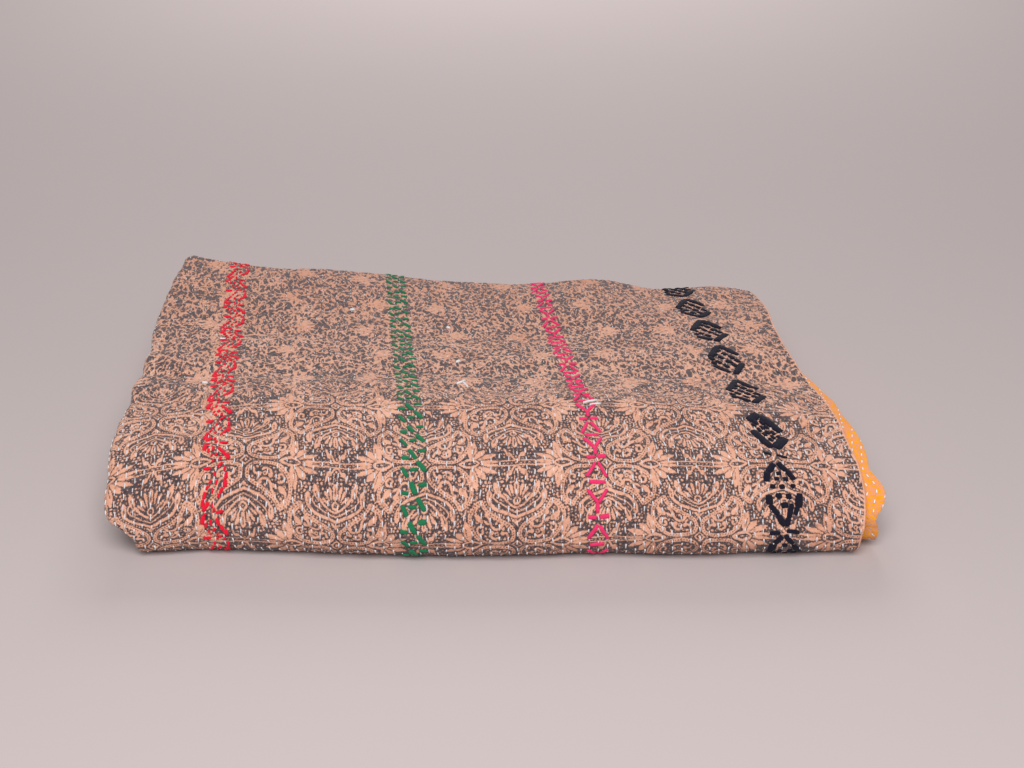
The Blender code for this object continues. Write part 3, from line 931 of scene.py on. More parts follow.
def to_dots(x, y, centres, radius):
    """Distance past the edge of the nearest dot of a row."""
    best = np.full(np.shape(x), FAR)
    for cx, cy in centres:
        best = np.minimum(best, np.hypot(x - cx, y - cy))
    return best - radius


def motif(x, y):
    """Distances past the edge of the light print and of the dark marks in it.

    Each is the least of the distances to its shapes, so it is negative inside.
    """
    across_diamond = (np.abs(x) + np.abs(y)) * DIAMOND_SLOPE
    bud = to_leaf(x, y, *BUD)
    shapes = [
        to_polyline(x, y, smooth_path(SCROLL_BAND)) - SCROLL_HALF,
        np.abs(bud + BUD_INSET) - BUD_RIM,
        np.hypot((x - SEED_X) * SEED_FLATNESS, y) - SEED_RADIUS,
        np.abs(across_diamond - DIAMOND_REACH) - DIAMOND_HALF,
    ]
    shapes += [to_polyline(x, y, smooth_path(path)) - half for _, half, path in STROKES]
    shapes += [to_leaf(x, y, *leaf) for _, *leaf in LEAVES]
    shapes += [
        np.abs(np.hypot(x - cx, y - cy) - radius) - half for _, cx, cy, radius, half in RINGS
    ]
    shapes += [to_dots(x, y, [(cx, cy)], radius) for _, cx, cy, radius in DOTS]
    shapes += [to_dots(x, y, beads(path, step), radius) for step, radius, path in BEAD_ROWS]
    holes = [to_polyline(x, y, path) - half for _, half, path in VEINS]
    holes.append(to_dots(x, y, beads(SCROLL_BAND, SCROLL_HOLE_STEP), SCROLL_HOLE))
    return np.minimum.reduce(shapes), np.minimum.reduce(holes)


def ground_dots(x, y):
    """Distance past the edge of small dots, strewn a little astray on a lattice
    whose every second row is half a step on."""
    rng = np.random.default_rng(7)
    best = np.full(np.shape(x), FAR)
    for row in np.arange(0, HALF_TALL / 2 + GROUND_MARGIN, GROUND_ROW):
        for col in np.arange(0, HALF_WIDE + GROUND_MARGIN, GROUND_STEP):
            cx = col + rng.uniform(-GROUND_STRAY_X, GROUND_STRAY_X)
            cx += GROUND_STEP / 2 if round(row / GROUND_ROW) % 2 else 0
            cy = row + rng.uniform(-GROUND_STRAY_Y, GROUND_STRAY_Y)
            radius = rng.uniform(*GROUND_RADII)
            on_mirror_line = abs(cy - HALF_TALL / 2) < MIRROR_HALF
            on_stem = cx < STEM_HALF and STEM_SPAN[0] < cy < STEM_SPAN[1]
            if not (on_mirror_line or on_stem):
                best = np.minimum(best, to_dots(x, y, [(cx, cy)], radius))
    return best


def encoded_chart():
    """Rows of the chart as numbers from 0 (dark ground) to 1 (light print).

    The motif and its turned copy join; ground dots keep clear of them, and the
    dark marks are cut out.  A number is half less the distance past the edge
    over twice the reach.
    """
    x, y = np.meshgrid(
        np.linspace(0, HALF_WIDE, CHART_COLUMNS),
        np.linspace(0, HALF_TALL / 2, CHART_ROWS),
    )
    pairs = zip(motif(x, y), motif(HALF_WIDE - x, HALF_TALL - y))
    shapes, holes = (np.minimum(one, other) for one, other in pairs)
    dots = np.maximum(ground_dots(x, y), GROUND_CLEARANCE - shapes)
    distance = np.maximum(np.minimum(shapes, dots), -holes)
    return np.clip(0.5 - distance / (2 * CHART_REACH), 0, 1)


# ---- materials --------------------------------------------------------------


def srgb(red, green, blue):
    """Linear colour from a screen colour in 0 to 255."""
    shares = np.array([red, green, blue]) / 255
    linear = np.where(shares <= 0.04045, shares / 12.92, ((shares + 0.055) / 1.055) ** 2.4)
    return (*linear.tolist(), 1.0)


class Value:
    """Output of a node; a sum on it adds Math nodes to the same material."""

    def __init__(self, paint, socket):
        self.paint = paint
        self.socket = socket

    def math(self, operation, *others):
        """This value and others through one Math node."""
        return self.paint.math(operation, self, *others)

    def __add__(self, other):
        return self.math("ADD", other)

    def __sub__(self, other):
        return self.math("SUBTRACT", other)

    def __rsub__(self, other):
        return self.paint.math("SUBTRACT", other, self)

    def __mul__(self, other):
        return self.math("MULTIPLY", other)

    def __truediv__(self, other):
        return self.math("DIVIDE", other)

    def __abs__(self):
        return self.math("ABSOLUTE")

    __radd__ = __add__
    __rmul__ = __mul__

    def clamped(self):
        """The value kept from 0 to 1."""
        return self.math("MAXIMUM", 0.0).math("MINIMUM", 1.0)

    def line(self, slope, shift):
        """slope times the value, plus a shift."""
        return self * slope + shift

    def ramp(self, start, length):
        """(value - start) / length, kept from 0 to 1."""
        return ((self - start) / length).clamped()


class Paint:
    """Node tree of one material round its Principled shader."""

    def __init__(self, name, constants):
        self.material = bpy.data.materials.new(name)
        self.material.use_nodes = True
        self.tree = self.material.node_tree
        self.shader = self.tree.nodes["Principled BSDF"]
        for socket, value in constants.items():
            self.shader.inputs[socket].default_value = value

    def put(self, socket, value):
        """Link a value to a socket, or write a constant into it."""
        if isinstance(value, Value):
            self.tree.links.new(value.socket, socket)
        else:
            socket.default_value = value

    def node(self, kind, settings=(), values=(), output=0):
        """One output of a new node, its settings made before its sockets."""
        made = self.tree.nodes.new(kind)
        for key, value in dict(settings).items():
            if key == "curves":
                set_curves(made.mapping, value)
            else:
                setattr(made, key, value)
        for key, value in dict(values).items():
            self.put(made.inputs[key], value)
        return Value(self, made.outputs[output])

    def math(self, operation, *values):
        """Output of a Math node."""
        return self.node("ShaderNodeMath", {"operation": operation}, enumerate(values))

    def vector(self, operation, *values, output=0):
        """Output of a Vector Math node."""
        settings = {"operation": operation}
        return self.node("ShaderNodeVectorMath", settings, enumerate(values), output)

    def joined(self, x, y, z=0.0):
        """Vector from three values."""
        return self.node("ShaderNodeCombineXYZ", (), enumerate((x, y, z)))

    def split(self, vector):
        """The three values of a vector."""
        made = self.tree.nodes.new("ShaderNodeSeparateXYZ")
        self.put(made.inputs[0], vector)
        return [Value(self, made.outputs[k]) for k in range(3)]

    def map(self, label):
        """Place on the surface in one of the piece's own UV maps."""
        return self.node("ShaderNodeUVMap", {"uv_map": label})

    def noise(self, vector, scale, detail=2.0, roughness=0.5):
        """Noise from 0 to 1 with so many cells a metre."""
        values = {"Vector": vector, "Scale": scale, "Detail": detail, "Roughness": roughness}
        return self.node("ShaderNodeTexNoise", {"noise_dimensions": "3D"}, values)

    def stray(self, vector, scale, detail, reach):
        """Noise round zero: (noise - 1/2) times its reach."""
        return (self.noise(vector, scale, detail) - 0.5) * reach

    def mixed(self, share, first, second):
        """Colour first (1 - share) + second share."""
        settings = {"data_type": "RGBA", "blend_type": "MIX"}
        return self.node("ShaderNodeMix", settings, {0: share, 6: first, 7: second}, 2)

    def finish(self, colour, roughness, height):
        """The material with its colour, roughness and a bump of this height."""
        self.put(self.shader.inputs["Base Color"], colour)
        self.put(self.shader.inputs["Roughness"], roughness)
        values = {"Height": height, "Distance": 1.0, "Strength": 1.0}
        self.put(self.shader.inputs["Normal"], self.node("ShaderNodeBump", (), values))
        return self.material


def set_curves(mapping, rows):
    """Up to three chart rows as the three curves of one node."""
    for curve, row in zip(mapping.curves, rows):
        last = len(row) - 1
        curve.points[0].location = (0.0, float(row[0]))
        curve.points[1].location = (1.0, float(row[last]))
        for k in range(1, last):
            curve.points.new(k / last, float(row[k]))
        for point in curve.points:
            point.handle_type = "VECTOR"
    mapping.update()


def printed_share(paint, u, v):
    """Light share of the print at a place on the cloth.

    The place is folded into one corner of the repeat.  Three chart rows at a
    time are read across and weighed by their closeness to the place, which is
    one less the distance in rows and never below zero.
    """
    wide, tall = HALF_WIDE * CHART_STEP, HALF_TALL * CHART_STEP
    x = abs((u - (PRINT_START[0] - wide)).math("FLOORED_MODULO", 2 * wide) - wide)
    y = abs((v - (PRINT_START[1] - tall)).math("FLOORED_MODULO", 2 * tall) - tall)
    far = y.math("GREATER_THAN", tall / 2)
    x = (x + far * (wide - 2 * x)) / wide
    y = (y + far * (tall - 2 * y)) * ((CHART_ROWS - 1) / (tall / 2))
    across = paint.joined(x, x, x)
    down = paint.joined(y, y, y)
    total = 0.0
    chart = encoded_chart()
    for first in range(0, CHART_ROWS, 3):
        light = paint.node(
            "ShaderNodeRGBCurve", {"curves": chart[first : first + 3]}, {"Color": across}
        )
        gap = paint.vector("SUBTRACT", down, (first, first + 1, first + 2))
        near = paint.vector("SUBTRACT", (1, 1, 1), paint.vector("ABSOLUTE", gap))
        weight = paint.vector("MAXIMUM", near, (0, 0, 0))
        total = total + paint.vector("DOT_PRODUCT", light, weight, output=1)
    return total, x, y


def plain_weave(paint, u, v):
    """Warp and weft as one wave: half of sin(warp) sin(weft), plus a half."""
    warp = (u * (math.tau / WARP_PITCH)).math("SINE")
    weft = (v * (math.tau / WEFT_PITCH)).math("SINE")
    return warp * weft * 0.5 + 0.5


def row_marks(u, v):
    """Distance to the nearest stitch row and from the middle of a stitch on it,
    the second as a share of the pitch."""
    wander = sum((v * rate + start).math("SINE") * reach for reach, rate, start in ROW_WANDERS)
    row = (u - ROW_START - wander) / ROW_PITCH
    near = row.math("ROUND")
    late = near * ROW_LATE + (near * ROW_LATE_TURN).math("SINE") * ROW_LATE_VARIES
    along = (v / STITCH_PITCH + late).math("FRACT")
    return abs(row - near) * ROW_PITCH, abs(along - 0.5)


def drawn_stitch(aside, along, half_width, half_length):
    """Share of white thread, 1 inside a stitch and 0 outside, soft between."""
    inside = ((half_width - aside) * STITCH_EDGE).clamped()
    return inside * ((half_length - along) * STITCH_END).clamped()


def worn_and_foot_shaded_print(paint, place, v):
    """Light share of the damask, with the grain and the patches of its wear.

    The print strays by slow noises, and by quicker ones on the top, where it is
    also flatter and its fleurs are brighter.  Grain, patches, blobs and curls
    are added, a painted shade at the foot of the front is taken off, and the
    sum is cut steeply at its middle.
    """
    upper = v.ramp(*TOP_WORN)
    beside = paint.vector("ADD", place, NOISE_ASIDE)
    tall = paint.vector("MULTIPLY", place, TALL_NOISE)
    tall_beside = paint.vector("ADD", tall, NOISE_ASIDE)
    stray_u = paint.stray(place, *PRINT_STRAY) + paint.stray(tall, *TOP_STRAY_U) * upper
    stray_v = paint.stray(beside, *PRINT_STRAY) + paint.stray(tall_beside, *TOP_STRAY_V) * upper
    print_u, print_v, _ = paint.split(paint.map("print"))
    share, x, y = printed_share(paint, print_u + stray_u, print_v + stray_v)
    fleur = (1.0 - abs(x - FLEUR_X) * FLEUR_FALL_X - y * FLEUR_FALL_Y).clamped()
    share = (share - PRINT_MIDDLE) * upper.line(-TOP_FLATNESS, 1.0)
    share = share + fleur * upper * FLEUR_GAIN
    grain = paint.noise(place, *GRAIN) - 0.5
    patches = paint.noise(place, *PATCHES) - 0.5
    blobs = (paint.noise(tall, *BLOBS) - BLOB_MIDDLE) * upper
    ridges = abs(paint.noise(tall_beside, *CURLS) - 0.5)
    curls = (ridges.line(-CURL_STEEPNESS, 1.0).clamped() - CURL_MIDDLE) * upper
    wear = grain * GRAIN_WEAR + patches * PATCH_WEAR + blobs * BLOB_WEAR + curls * CURL_WEAR
    # painted shade: the print is darkened towards the foot of the front, low by the floor
    wear = wear - v.ramp(*FOOT) * FOOT_SHADE_ON_PRINT
    mask = (share + wear).line(PRINT_EDGE, 0.5).clamped()
    return mask, grain, patches


def printed_cotton(name, drawn_stitches):
    """Damask print on plain weave, worn and puckered.

    Both dyes vary by noise and fade to the rear, and a painted shade darkens
    them at the foot of the front; the weave and the closeness of a stitch row
    then darken them as painted shade, and the hem's fold lightens them as a
    painted highlight.
    """
    paint = Paint(name, {"Specular IOR Level": 0.25, "Sheen Weight": 0.12, "Sheen Roughness": 0.6})
    place = paint.map("cloth")
    u, v, _ = paint.split(place)
    across, _, _ = paint.split(paint.map("flat"))
    mask, grain, patches = worn_and_foot_shaded_print(paint, place, v)
    blotch = paint.noise(paint.vector("MULTIPLY", place, BLOTCH_STRETCH), *BLOTCHES)
    faded = v.ramp(*FADED)
    dark = paint.mixed(blotch.line(*DARK_WORN).clamped(), DARK_DYE, DARK_DYE_WORN)
    dark = paint.mixed(faded * DARK_FADES, dark, DARK_DYE_WORN)
    full = (blotch.line(*LIGHT_FULL) + grain * LIGHT_GRAIN).clamped()
    light = paint.mixed(full, LIGHT_DYE_DEEP, LIGHT_DYE)
    light = paint.mixed(patches.line(*LIGHT_PALE).clamped(), light, LIGHT_DYE_PALE)
    # painted shade: besides fading to the rear, the light dye deepens at the foot of the front
    deep = faded * LIGHT_FADES + v.ramp(*FOOT) * FOOT_SHADE_ON_LIGHT_DYE
    light = paint.mixed(deep, light, LIGHT_DYE_DEEP)
    colour = paint.mixed(mask, dark, light)
    weave = plain_weave(paint, u, v)
    colour = paint.mixed(weave * WEAVE_DARKENS, colour, WEAVE_SHADE)
    aside, along = row_marks(u, v)
    close = (1.0 - aside / DIMPLE_REACH).clamped()
    gap = ((along - GAP_START) * GAP_STEEPNESS).clamped()
    # painted shade in the dimple beside a stitch row, deepest in the gap where the thread goes
    # under
    colour = paint.mixed(close * gap * DIMPLE_DARKENS, colour, DIMPLE_SHADE)
    # painted highlight: a pale line along each hem where the print turns round the fold
    rim = abs(across).ramp(FLAT_HALF_WIDTH - HEM_HIGHLIGHT_REACH, HEM_HIGHLIGHT_EDGE)
    colour = paint.mixed(rim * HEM_HIGHLIGHT_SHARE, colour, HEM_FOLD_HIGHLIGHT)
    buckles = paint.noise(paint.vector("MULTIPLY", place, BUCKLE_STRETCH), *BUCKLES)
    height = weave * WEAVE_RELIEF + grain * GRAIN_RELIEF + mask * PRINT_RELIEF
    height = height + buckles * BUCKLE_RELIEF
    height = height - close * close * gap.line(GAP_RELIEF, DIMPLE_RELIEF)
    if drawn_stitches:
        line = drawn_stitch(aside, along, *FOLDED_STITCH)
        colour = paint.mixed(line, colour, WHITE_THREAD)
        height = height + line * DRAWN_RISE
    return paint.finish(colour, mask.line(*PRINT_ROUGHNESS), height)


def orange_cotton():
    """Marigold dye that has crackled to salmon along fine cells."""
    paint = Paint("orange_cotton", {"Specular IOR Level": 0.25, "Sheen Weight": 0.1})
    place = paint.map("cloth")
    u, v, _ = paint.split(place)
    beside = paint.vector("ADD", place, CRACKLE_ASIDE)
    stray = (paint.stray(place, *CRACKLE_STRAY), paint.stray(beside, *CRACKLE_STRAY))
    cracks = paint.node(
        "ShaderNodeTexVoronoi",
        {"feature": "DISTANCE_TO_EDGE", "voronoi_dimensions": "3D"},
        {"Vector": paint.vector("ADD", place, paint.joined(*stray)), "Scale": CRACKLE_CELLS},
    )
    salmon = cracks.line(*CRACK_WIDTH).clamped()
    patches = paint.noise(place, *ORANGE_PATCHES)
    colour = paint.mixed(patches.line(*ORANGE_FULL).clamped(), ORANGE_DEEP, ORANGE)
    crackled = salmon * patches.line(*ORANGE_CRACKLED).clamped()
    colour = paint.mixed(crackled, colour, ORANGE_CRACK)
    weave = plain_weave(paint, u, v)
    colour = paint.mixed(weave * ORANGE_WEAVE_DARKENS, colour, ORANGE_WEAVE_SHADE)
    aside, along = row_marks(u, v)
    line = drawn_stitch(aside, along, *BACKING_STITCH)
    close = (1.0 - aside / BACKING_DIMPLE_REACH).clamped()
    colour = paint.mixed(line, colour, WHITE_THREAD)
    height = weave * WEAVE_RELIEF + paint.noise(place, *BACKING_BUCKLES) * BUCKLE_RELIEF
    height = height - close * close * BACKING_DIMPLE_RELIEF + line * DRAWN_RISE
    return paint.finish(colour, salmon.line(*ORANGE_ROUGHNESS), height)


def cotton_thread(name, colour, dark, strands, sheen):
    """Loosely twisted thread; strands a metre lie side by side in one stitch.

    The furrow between two strands is the cube of the share of the way to it,
    and the twist is a sine wave that runs slantwise over them.  Both darken
    the colour as painted shade, besides their bump; the patches are the
    thread's own tone.
    """
    paint = Paint(name, {"Specular IOR Level": 0.2, "Sheen Weight": sheen})
    along, aside, _ = paint.split(paint.map("thread"))
    twist = ((along * TWIST_SLANT + aside) * (math.tau / TWIST_PITCH)).math("SINE")
    strand = abs((aside * strands).math("FRACT") - 0.5) * 2.0
    objects = paint.node("ShaderNodeTexCoord", (), (), "Object")
    patches = paint.noise(objects, *THREAD_PATCHES)
    furrow = strand * strand * strand
    tone = paint.mixed(patches.line(*THREAD_DARK).clamped() * THREAD_DARKENS, colour, dark)
    # painted shade in the furrows between strands and along the twist
    tone = paint.mixed(furrow * FURROW_PAINTED_SHADE + twist * TWIST_PAINTED_SHADE, tone, dark)
    height = twist * TWIST_RELIEF - furrow * FURROW_RELIEF
    return paint.finish(tone, patches.line(*THREAD_ROUGHNESS), height)


# colours of the cloths, their stitches and the paper; the weave and dimple
# shades are painted shade, and the hem fold colour is a painted highlight
DARK_DYE = srgb(64, 56, 60)
DARK_DYE_WORN = srgb(108, 93, 94)
LIGHT_DYE = srgb(236, 174, 143)
LIGHT_DYE_DEEP = srgb(205, 140, 110)
LIGHT_DYE_PALE = srgb(246, 194, 168)
HEM_FOLD_HIGHLIGHT = srgb(240, 180, 152)
ORANGE = srgb(255, 180, 36)
ORANGE_DEEP = srgb(252, 160, 24)
ORANGE_CRACK = srgb(238, 162, 122)
WHITE_THREAD = srgb(250, 250, 253)
WHITE_THREAD_SHADE = srgb(214, 210, 215)
FLOOR_GREY = srgb(196, 186, 185)
FLOOR_GREY_DEEP = srgb(190, 181, 180)
WEAVE_SHADE = (0.02, 0.015, 0.015, 1.0)
DIMPLE_SHADE = (0.05, 0.035, 0.035, 1.0)
ORANGE_WEAVE_SHADE = (0.25, 0.07, 0.01, 1.0)
# metres between two threads of the weave and two turns of a twisted thread, and
# how far the twist leans
WARP_PITCH = 0.00052
WEFT_PITCH = 0.00060
TWIST_PITCH = 0.0011
TWIST_SLANT = 1.4
# cells a metre, detail and roughness of the noises of wear, dye and relief
GRAIN = (780.0, 2.0, 0.7)
PATCHES = (28.0, 3.0, 0.6)
BLOBS = (190.0, 2.0, 0.5)
CURLS = (124.0, 1.0, 0.5)
BLOTCHES = (210.0, 2.0, 0.65)
BUCKLES = (230.0, 2.0, 0.5)
BACKING_BUCKLES = (240.0, 2.0, 0.5)
ORANGE_PATCHES = (60.0, 3.0, 0.6)
THREAD_PATCHES = (400.0, 2.0, 0.5)
PAPER_CLOUDS = (3.0, 2.0, 0.5)
# stretch of two of them in u, v and depth
BLOTCH_STRETCH = (1.0, 1.6, 1.0)
BUCKLE_STRETCH = (1.0, 1.7, 1.0)
# how strongly grain, patches, blobs and curls wear the print and the foot's
# painted shade darkens it; mean tones of blobs and curls, how steep a curl is
GRAIN_WEAR, PATCH_WEAR, BLOB_WEAR, CURL_WEAR, FOOT_SHADE_ON_PRINT = 0.70, 0.26, 0.62, 0.32, 0.06
BLOB_MIDDLE = 0.505
CURL_STEEPNESS = 10.0
CURL_MIDDLE = 0.36
# slope and shift that turn a pattern into the share of a second colour, and the
# slope of the grain, which joins in the full light dye
DARK_WORN = (2.6, -0.95)
LIGHT_FULL = (2.2, -0.5)
LIGHT_GRAIN = 1.4
LIGHT_PALE = (1.8, 0.35)
ORANGE_FULL = (2.4, -0.8)
ORANGE_CRACKLED = (2.8, -0.2)
CRACK_WIDTH = (-7.0, 1.2)
THREAD_DARK = (1.8, -0.5)
# slope and shift that turn a pattern into the roughness
PRINT_ROUGHNESS = (-0.06, 0.88)
ORANGE_ROUGHNESS = (-0.04, 0.86)
THREAD_ROUGHNESS = (0.1, 0.75)
PAPER_ROUGHNESS = (0.05, 0.9)
# largest share of the second colour in a mixture; the weave, dimple, furrow,
# twist and foot shares paint shade, and the hem fold share paints a highlight
DARK_FADES = 0.55
LIGHT_FADES = 0.45
FOOT_SHADE_ON_LIGHT_DYE = 0.5
WEAVE_DARKENS = 0.16
ORANGE_WEAVE_DARKENS = 0.12
DIMPLE_DARKENS = 0.30
HEM_HIGHLIGHT_SHARE = 0.85
THREAD_DARKENS = 0.5
FURROW_PAINTED_SHADE = 0.45
TWIST_PAINTED_SHADE = 0.06
PAPER_DEEPENS = 0.3
# height in metres that a pattern adds to the bump or takes from it
WEAVE_RELIEF = 0.00005
GRAIN_RELIEF = 0.00010
PRINT_RELIEF = 0.00006
BUCKLE_RELIEF = 0.0008
DIMPLE_RELIEF = 0.00022
GAP_RELIEF = 0.00030
BACKING_DIMPLE_RELIEF = 0.0003
TWIST_RELIEF = 0.00006
FURROW_RELIEF = 0.0003
PAPER_RELIEF = 0.0001
# cells a metre, detail and reach of the noises that lead a pattern astray
PRINT_STRAY = (55.0, 1.0, 0.0028)
TOP_STRAY_U = (200.0, 1.0, 0.0026)
TOP_STRAY_V = (200.0, 1.0, 0.0050)
CRACKLE_STRAY = (130.0, 2.0, 0.006)
# cells of the crackle a metre
CRACKLE_CELLS = 235.0
# shifts to another part of a noise, and the stretch of the top's own noises
NOISE_ASIDE = (7.1, 3.3, 1.7)
CRACKLE_ASIDE = (3.0, 1.0, 2.0)
TALL_NOISE = (1.5, 0.72, 1.0)
# v where the worn top, the faded rear and the painted shade at the foot start,
# and the length over which each grows to its full share
TOP_WORN = (0.040, 0.12)
FADED = (0.18, 0.25)
FOOT = (-0.066, -0.014)
# the fleur: its place in half repeats, how fast it fades across and along, and
# how much it brightens the worn top
FLEUR_X = 0.586
FLEUR_FALL_X = 5.0
FLEUR_FALL_Y = 0.055
FLEUR_GAIN = 0.30
# flatness of the print on the top, its middle tone and its steepness
TOP_FLATNESS = 0.36
PRINT_MIDDLE = 0.515
PRINT_EDGE = 6.0
# how far the painted shade of a stitch row's dimple and the painted highlight
# on a hem's fold reach in the colours; where the gap starts, in shares of the
# pitch from the middle of a stitch, and how steeply it deepens
DIMPLE_REACH = 0.0016
BACKING_DIMPLE_REACH = 0.0018
HEM_HIGHLIGHT_REACH = 0.0022
GAP_START = 0.27
GAP_STEEPNESS = 9.0
# width of the soft edge of the painted highlight along the hem's fold
HEM_HIGHLIGHT_EDGE = 1 / 1500
# half width of a drawn stitch, and its half length as a share of the pitch
FOLDED_STITCH = (0.00068, 0.28)
BACKING_STITCH = (0.00065, 0.19)
# steepness of a drawn stitch at its sides and ends, and its height
STITCH_EDGE = 4000.0
STITCH_END = 24.0
DRAWN_RISE = 0.0005

# ---- embroidered bands: one repeat each, in millimetres ---------------------
# u is across from the band's middle and v up from its first knot; turn is the
# angle of the stitch from u in degrees
GREEN_BAND = (
    # u, v, turn, length, width
    (-7.2, -9.4, -58.0, 11.5, 4.3),
    (-0.6, -22.0, -60.0, 12.5, 5.2),
    (6.3, -33.4, -56.0, 13.5, 4.8),
    (0.2, -7.0, 2.0, 7.6, 3.6),
    (7.2, -18.7, 0.0, 7.8, 4.1),
    (-6.8, -25.5, -4.0, 8.0, 4.3),
)
PINK_BAND = (
    # u, v, turn, length, width
    (-3.9, -6.6, 61.0, 18.2, 3.7),
    (5.4, -6.6, -62.0, 17.7, 3.7),
    (0.4, -18.0, 0.0, 14.6, 3.9),
    (-3.2, -29.6, -56.0, 14.6, 3.9),
    (5.6, -29.4, 54.0, 15.1, 3.9),
    (1.0, -39.4, 90.0, 9.4, 3.7),
    (-3.6, -46.8, 0.0, 8.3, 4.1),
    (5.8, -46.4, 4.0, 8.9, 4.1),
)
RED_BAND = (
    # u, v, turn, length, width
    (-8.2, -1.5, 65.0, 4.6, 3.6),
    (-5.4, 0.6, 30.0, 3.5, 2.4),
    (-10.0, -10.0, 82.0, 7.1, 4.2),
    (-7.0, -13.6, 78.0, 4.6, 2.4),
    (-3.4, -11.4, 84.0, 5.0, 2.6),
    (-7.8, -6.2, 20.0, 3.0, 2.2),
    (-1.0, -3.6, 70.0, 3.4, 2.2),
    (5.0, -5.2, 4.0, 6.9, 2.4),
    (2.6, -12.6, -66.0, 6.0, 3.0),
    (5.4, -16.6, -66.0, 6.4, 3.4),
    (8.8, -20.6, -76.0, 6.9, 4.2),
    (-0.8, -18.0, 60.0, 3.9, 2.4),
    (-5.0, -19.4, 70.0, 3.4, 2.2),
    (1.8, -23.2, 74.0, 4.0, 2.4),
    (-3.4, -24.0, 60.0, 2.7, 2.2),
    (3.6, -28.0, 60.0, 4.2, 2.6),
    (7.0, -31.2, 80.0, 3.9, 2.4),
    (-7.4, -30.6, 0.0, 7.1, 3.6),
    (0.8, -30.4, 70.0, 3.4, 2.2),
    (-1.8, -36.2, 80.0, 4.0, 2.2),
    (8.6, -37.4, 88.0, 6.4, 3.0),
    (8.4, -44.0, 86.0, 6.6, 4.2),
    (5.6, -48.4, 66.0, 5.4, 3.4),
    (3.0, -52.0, 70.0, 3.7, 2.4),
    (1.6, -42.6, 76.0, 4.4, 2.4),
    (-4.2, -41.8, 70.0, 3.4, 2.2),
    (-6.0, -46.0, 60.0, 4.0, 2.4),
    (-1.6, -48.6, 76.0, 3.9, 2.2),
    (-8.6, -51.4, 74.0, 6.4, 3.4),
    (-10.2, -56.6, 84.0, 5.4, 3.8),
    (-6.6, -57.6, 80.0, 4.5, 2.6),
    (-1.8, -58.6, 84.0, 3.7, 2.4),
)
NAVY_BAND = (
    # u, v, turn, length, width
    (-7.5, -4.6, 48.8, 10.8, 5.6),
    (-12.2, -13.4, 75.5, 10.4, 6.2),
    (1.8, -3.8, -49.6, 10.8, 4.6),
    (8.1, -12.0, -56.3, 10.8, 5.4),
    (-1.6, -9.6, 4.0, 4.6, 3.6),
    (-4.4, -15.4, 0.0, 4.4, 4.4),
    (3.2, -15.4, 6.0, 4.4, 4.6),
    (-8.5, -22.6, 0.0, 4.4, 4.8),
    (-0.4, -22.6, 4.0, 4.6, 5.0),
    (7.7, -22.2, 0.0, 4.6, 5.0),
    (-4.0, -30.9, 8.0, 4.8, 5.4),
    (3.8, -30.9, 0.0, 5.0, 5.6),
    (0.2, -39.5, 10.0, 6.4, 6.2),
    (-12.5, -34.5, 94.6, 10.6, 5.6),
    (-9.3, -44.0, -58.4, 11.2, 5.6),
    (-3.6, -53.5, -60.0, 12.0, 5.2),
    (12.3, -35.0, 82.2, 15.4, 6.4),
    (4.2, -44.5, 71.3, 15.0, 4.4),
    (8.6, -44.6, 74.0, 8.6, 4.4),
    (0.9, -54.9, 75.0, 8.4, 4.4),
    (-8.9, -64.0, 1.0, 9.7, 3.6),
    (5.6, -64.0, -2.0, 11.5, 3.8),
)
NAVY_BOX = (
    # u, v, turn, length, width
    (-5.5, 18.5, 42.0, 15.0, 8.6),
    (8.5, -14.5, 50.0, 20.0, 8.8),
    (7.5, 10.6, -61.0, 26.0, 7.4),
    (-5.0, -9.5, -63.0, 27.0, 7.0),
    (-7.7, 8.7, -62.0, 5.2, 3.6),
    (-4.4, 2.5, -62.0, 5.2, 3.6),
    (-1.1, -3.6, -62.0, 5.2, 3.6),
    (2.2, -9.8, -62.0, 5.2, 3.6),
    (-4.4, 11.6, -62.0, 5.2, 3.6),
    (-1.2, 5.4, -62.0, 5.2, 3.6),
    (2.1, -0.8, -62.0, 5.2, 3.6),
    (5.4, -6.9, -62.0, 5.2, 3.6),
    (0.2, 11.8, -62.0, 5.2, 3.6),
    (3.5, 5.6, -62.0, 5.2, 3.6),
    (6.8, -0.5, -62.0, 5.2, 3.6),
    (10.1, -6.7, -62.0, 5.2, 3.6),
)
NAVY_TOP_BAND = (
    # u, v, turn, length, width
    (-7.2, 18.0, 61.0, 30.0, 6.6),
    (6.6, 19.6, -60.5, 27.0, 6.2),
    (-7.4, -18.6, -49.0, 20.0, 5.4),
    (7.6, -18.8, 53.0, 24.0, 7.4),
    (-2.7, 18.9, -60.0, 7.0, 4.4),
    (1.7, 11.4, -60.0, 7.0, 4.4),
    (6.1, 3.8, -60.0, 7.0, 4.4),
    (10.3, -3.6, -60.0, 7.0, 4.4),
    (-7.2, 11.4, -60.0, 7.0, 4.4),
    (-2.8, 3.6, -60.0, 7.0, 4.4),
    (1.6, -4.0, -60.0, 7.0, 4.4),
    (6.0, -11.6, -60.0, 7.0, 4.4),
    (-11.4, 2.6, -60.0, 7.0, 4.4),
    (-7.0, -5.0, -60.0, 7.0, 4.4),
    (-2.6, -12.8, -60.0, 7.0, 4.4),
    (-12.4, -7.0, -60.0, 6.0, 3.8),
)
NAVY_STAR = (
    # u, v, turn, length, width
    (-8.2, 9.3, -26.0, 7.4, 2.2),
    (4.4, 6.7, -13.0, 9.1, 2.2),
)
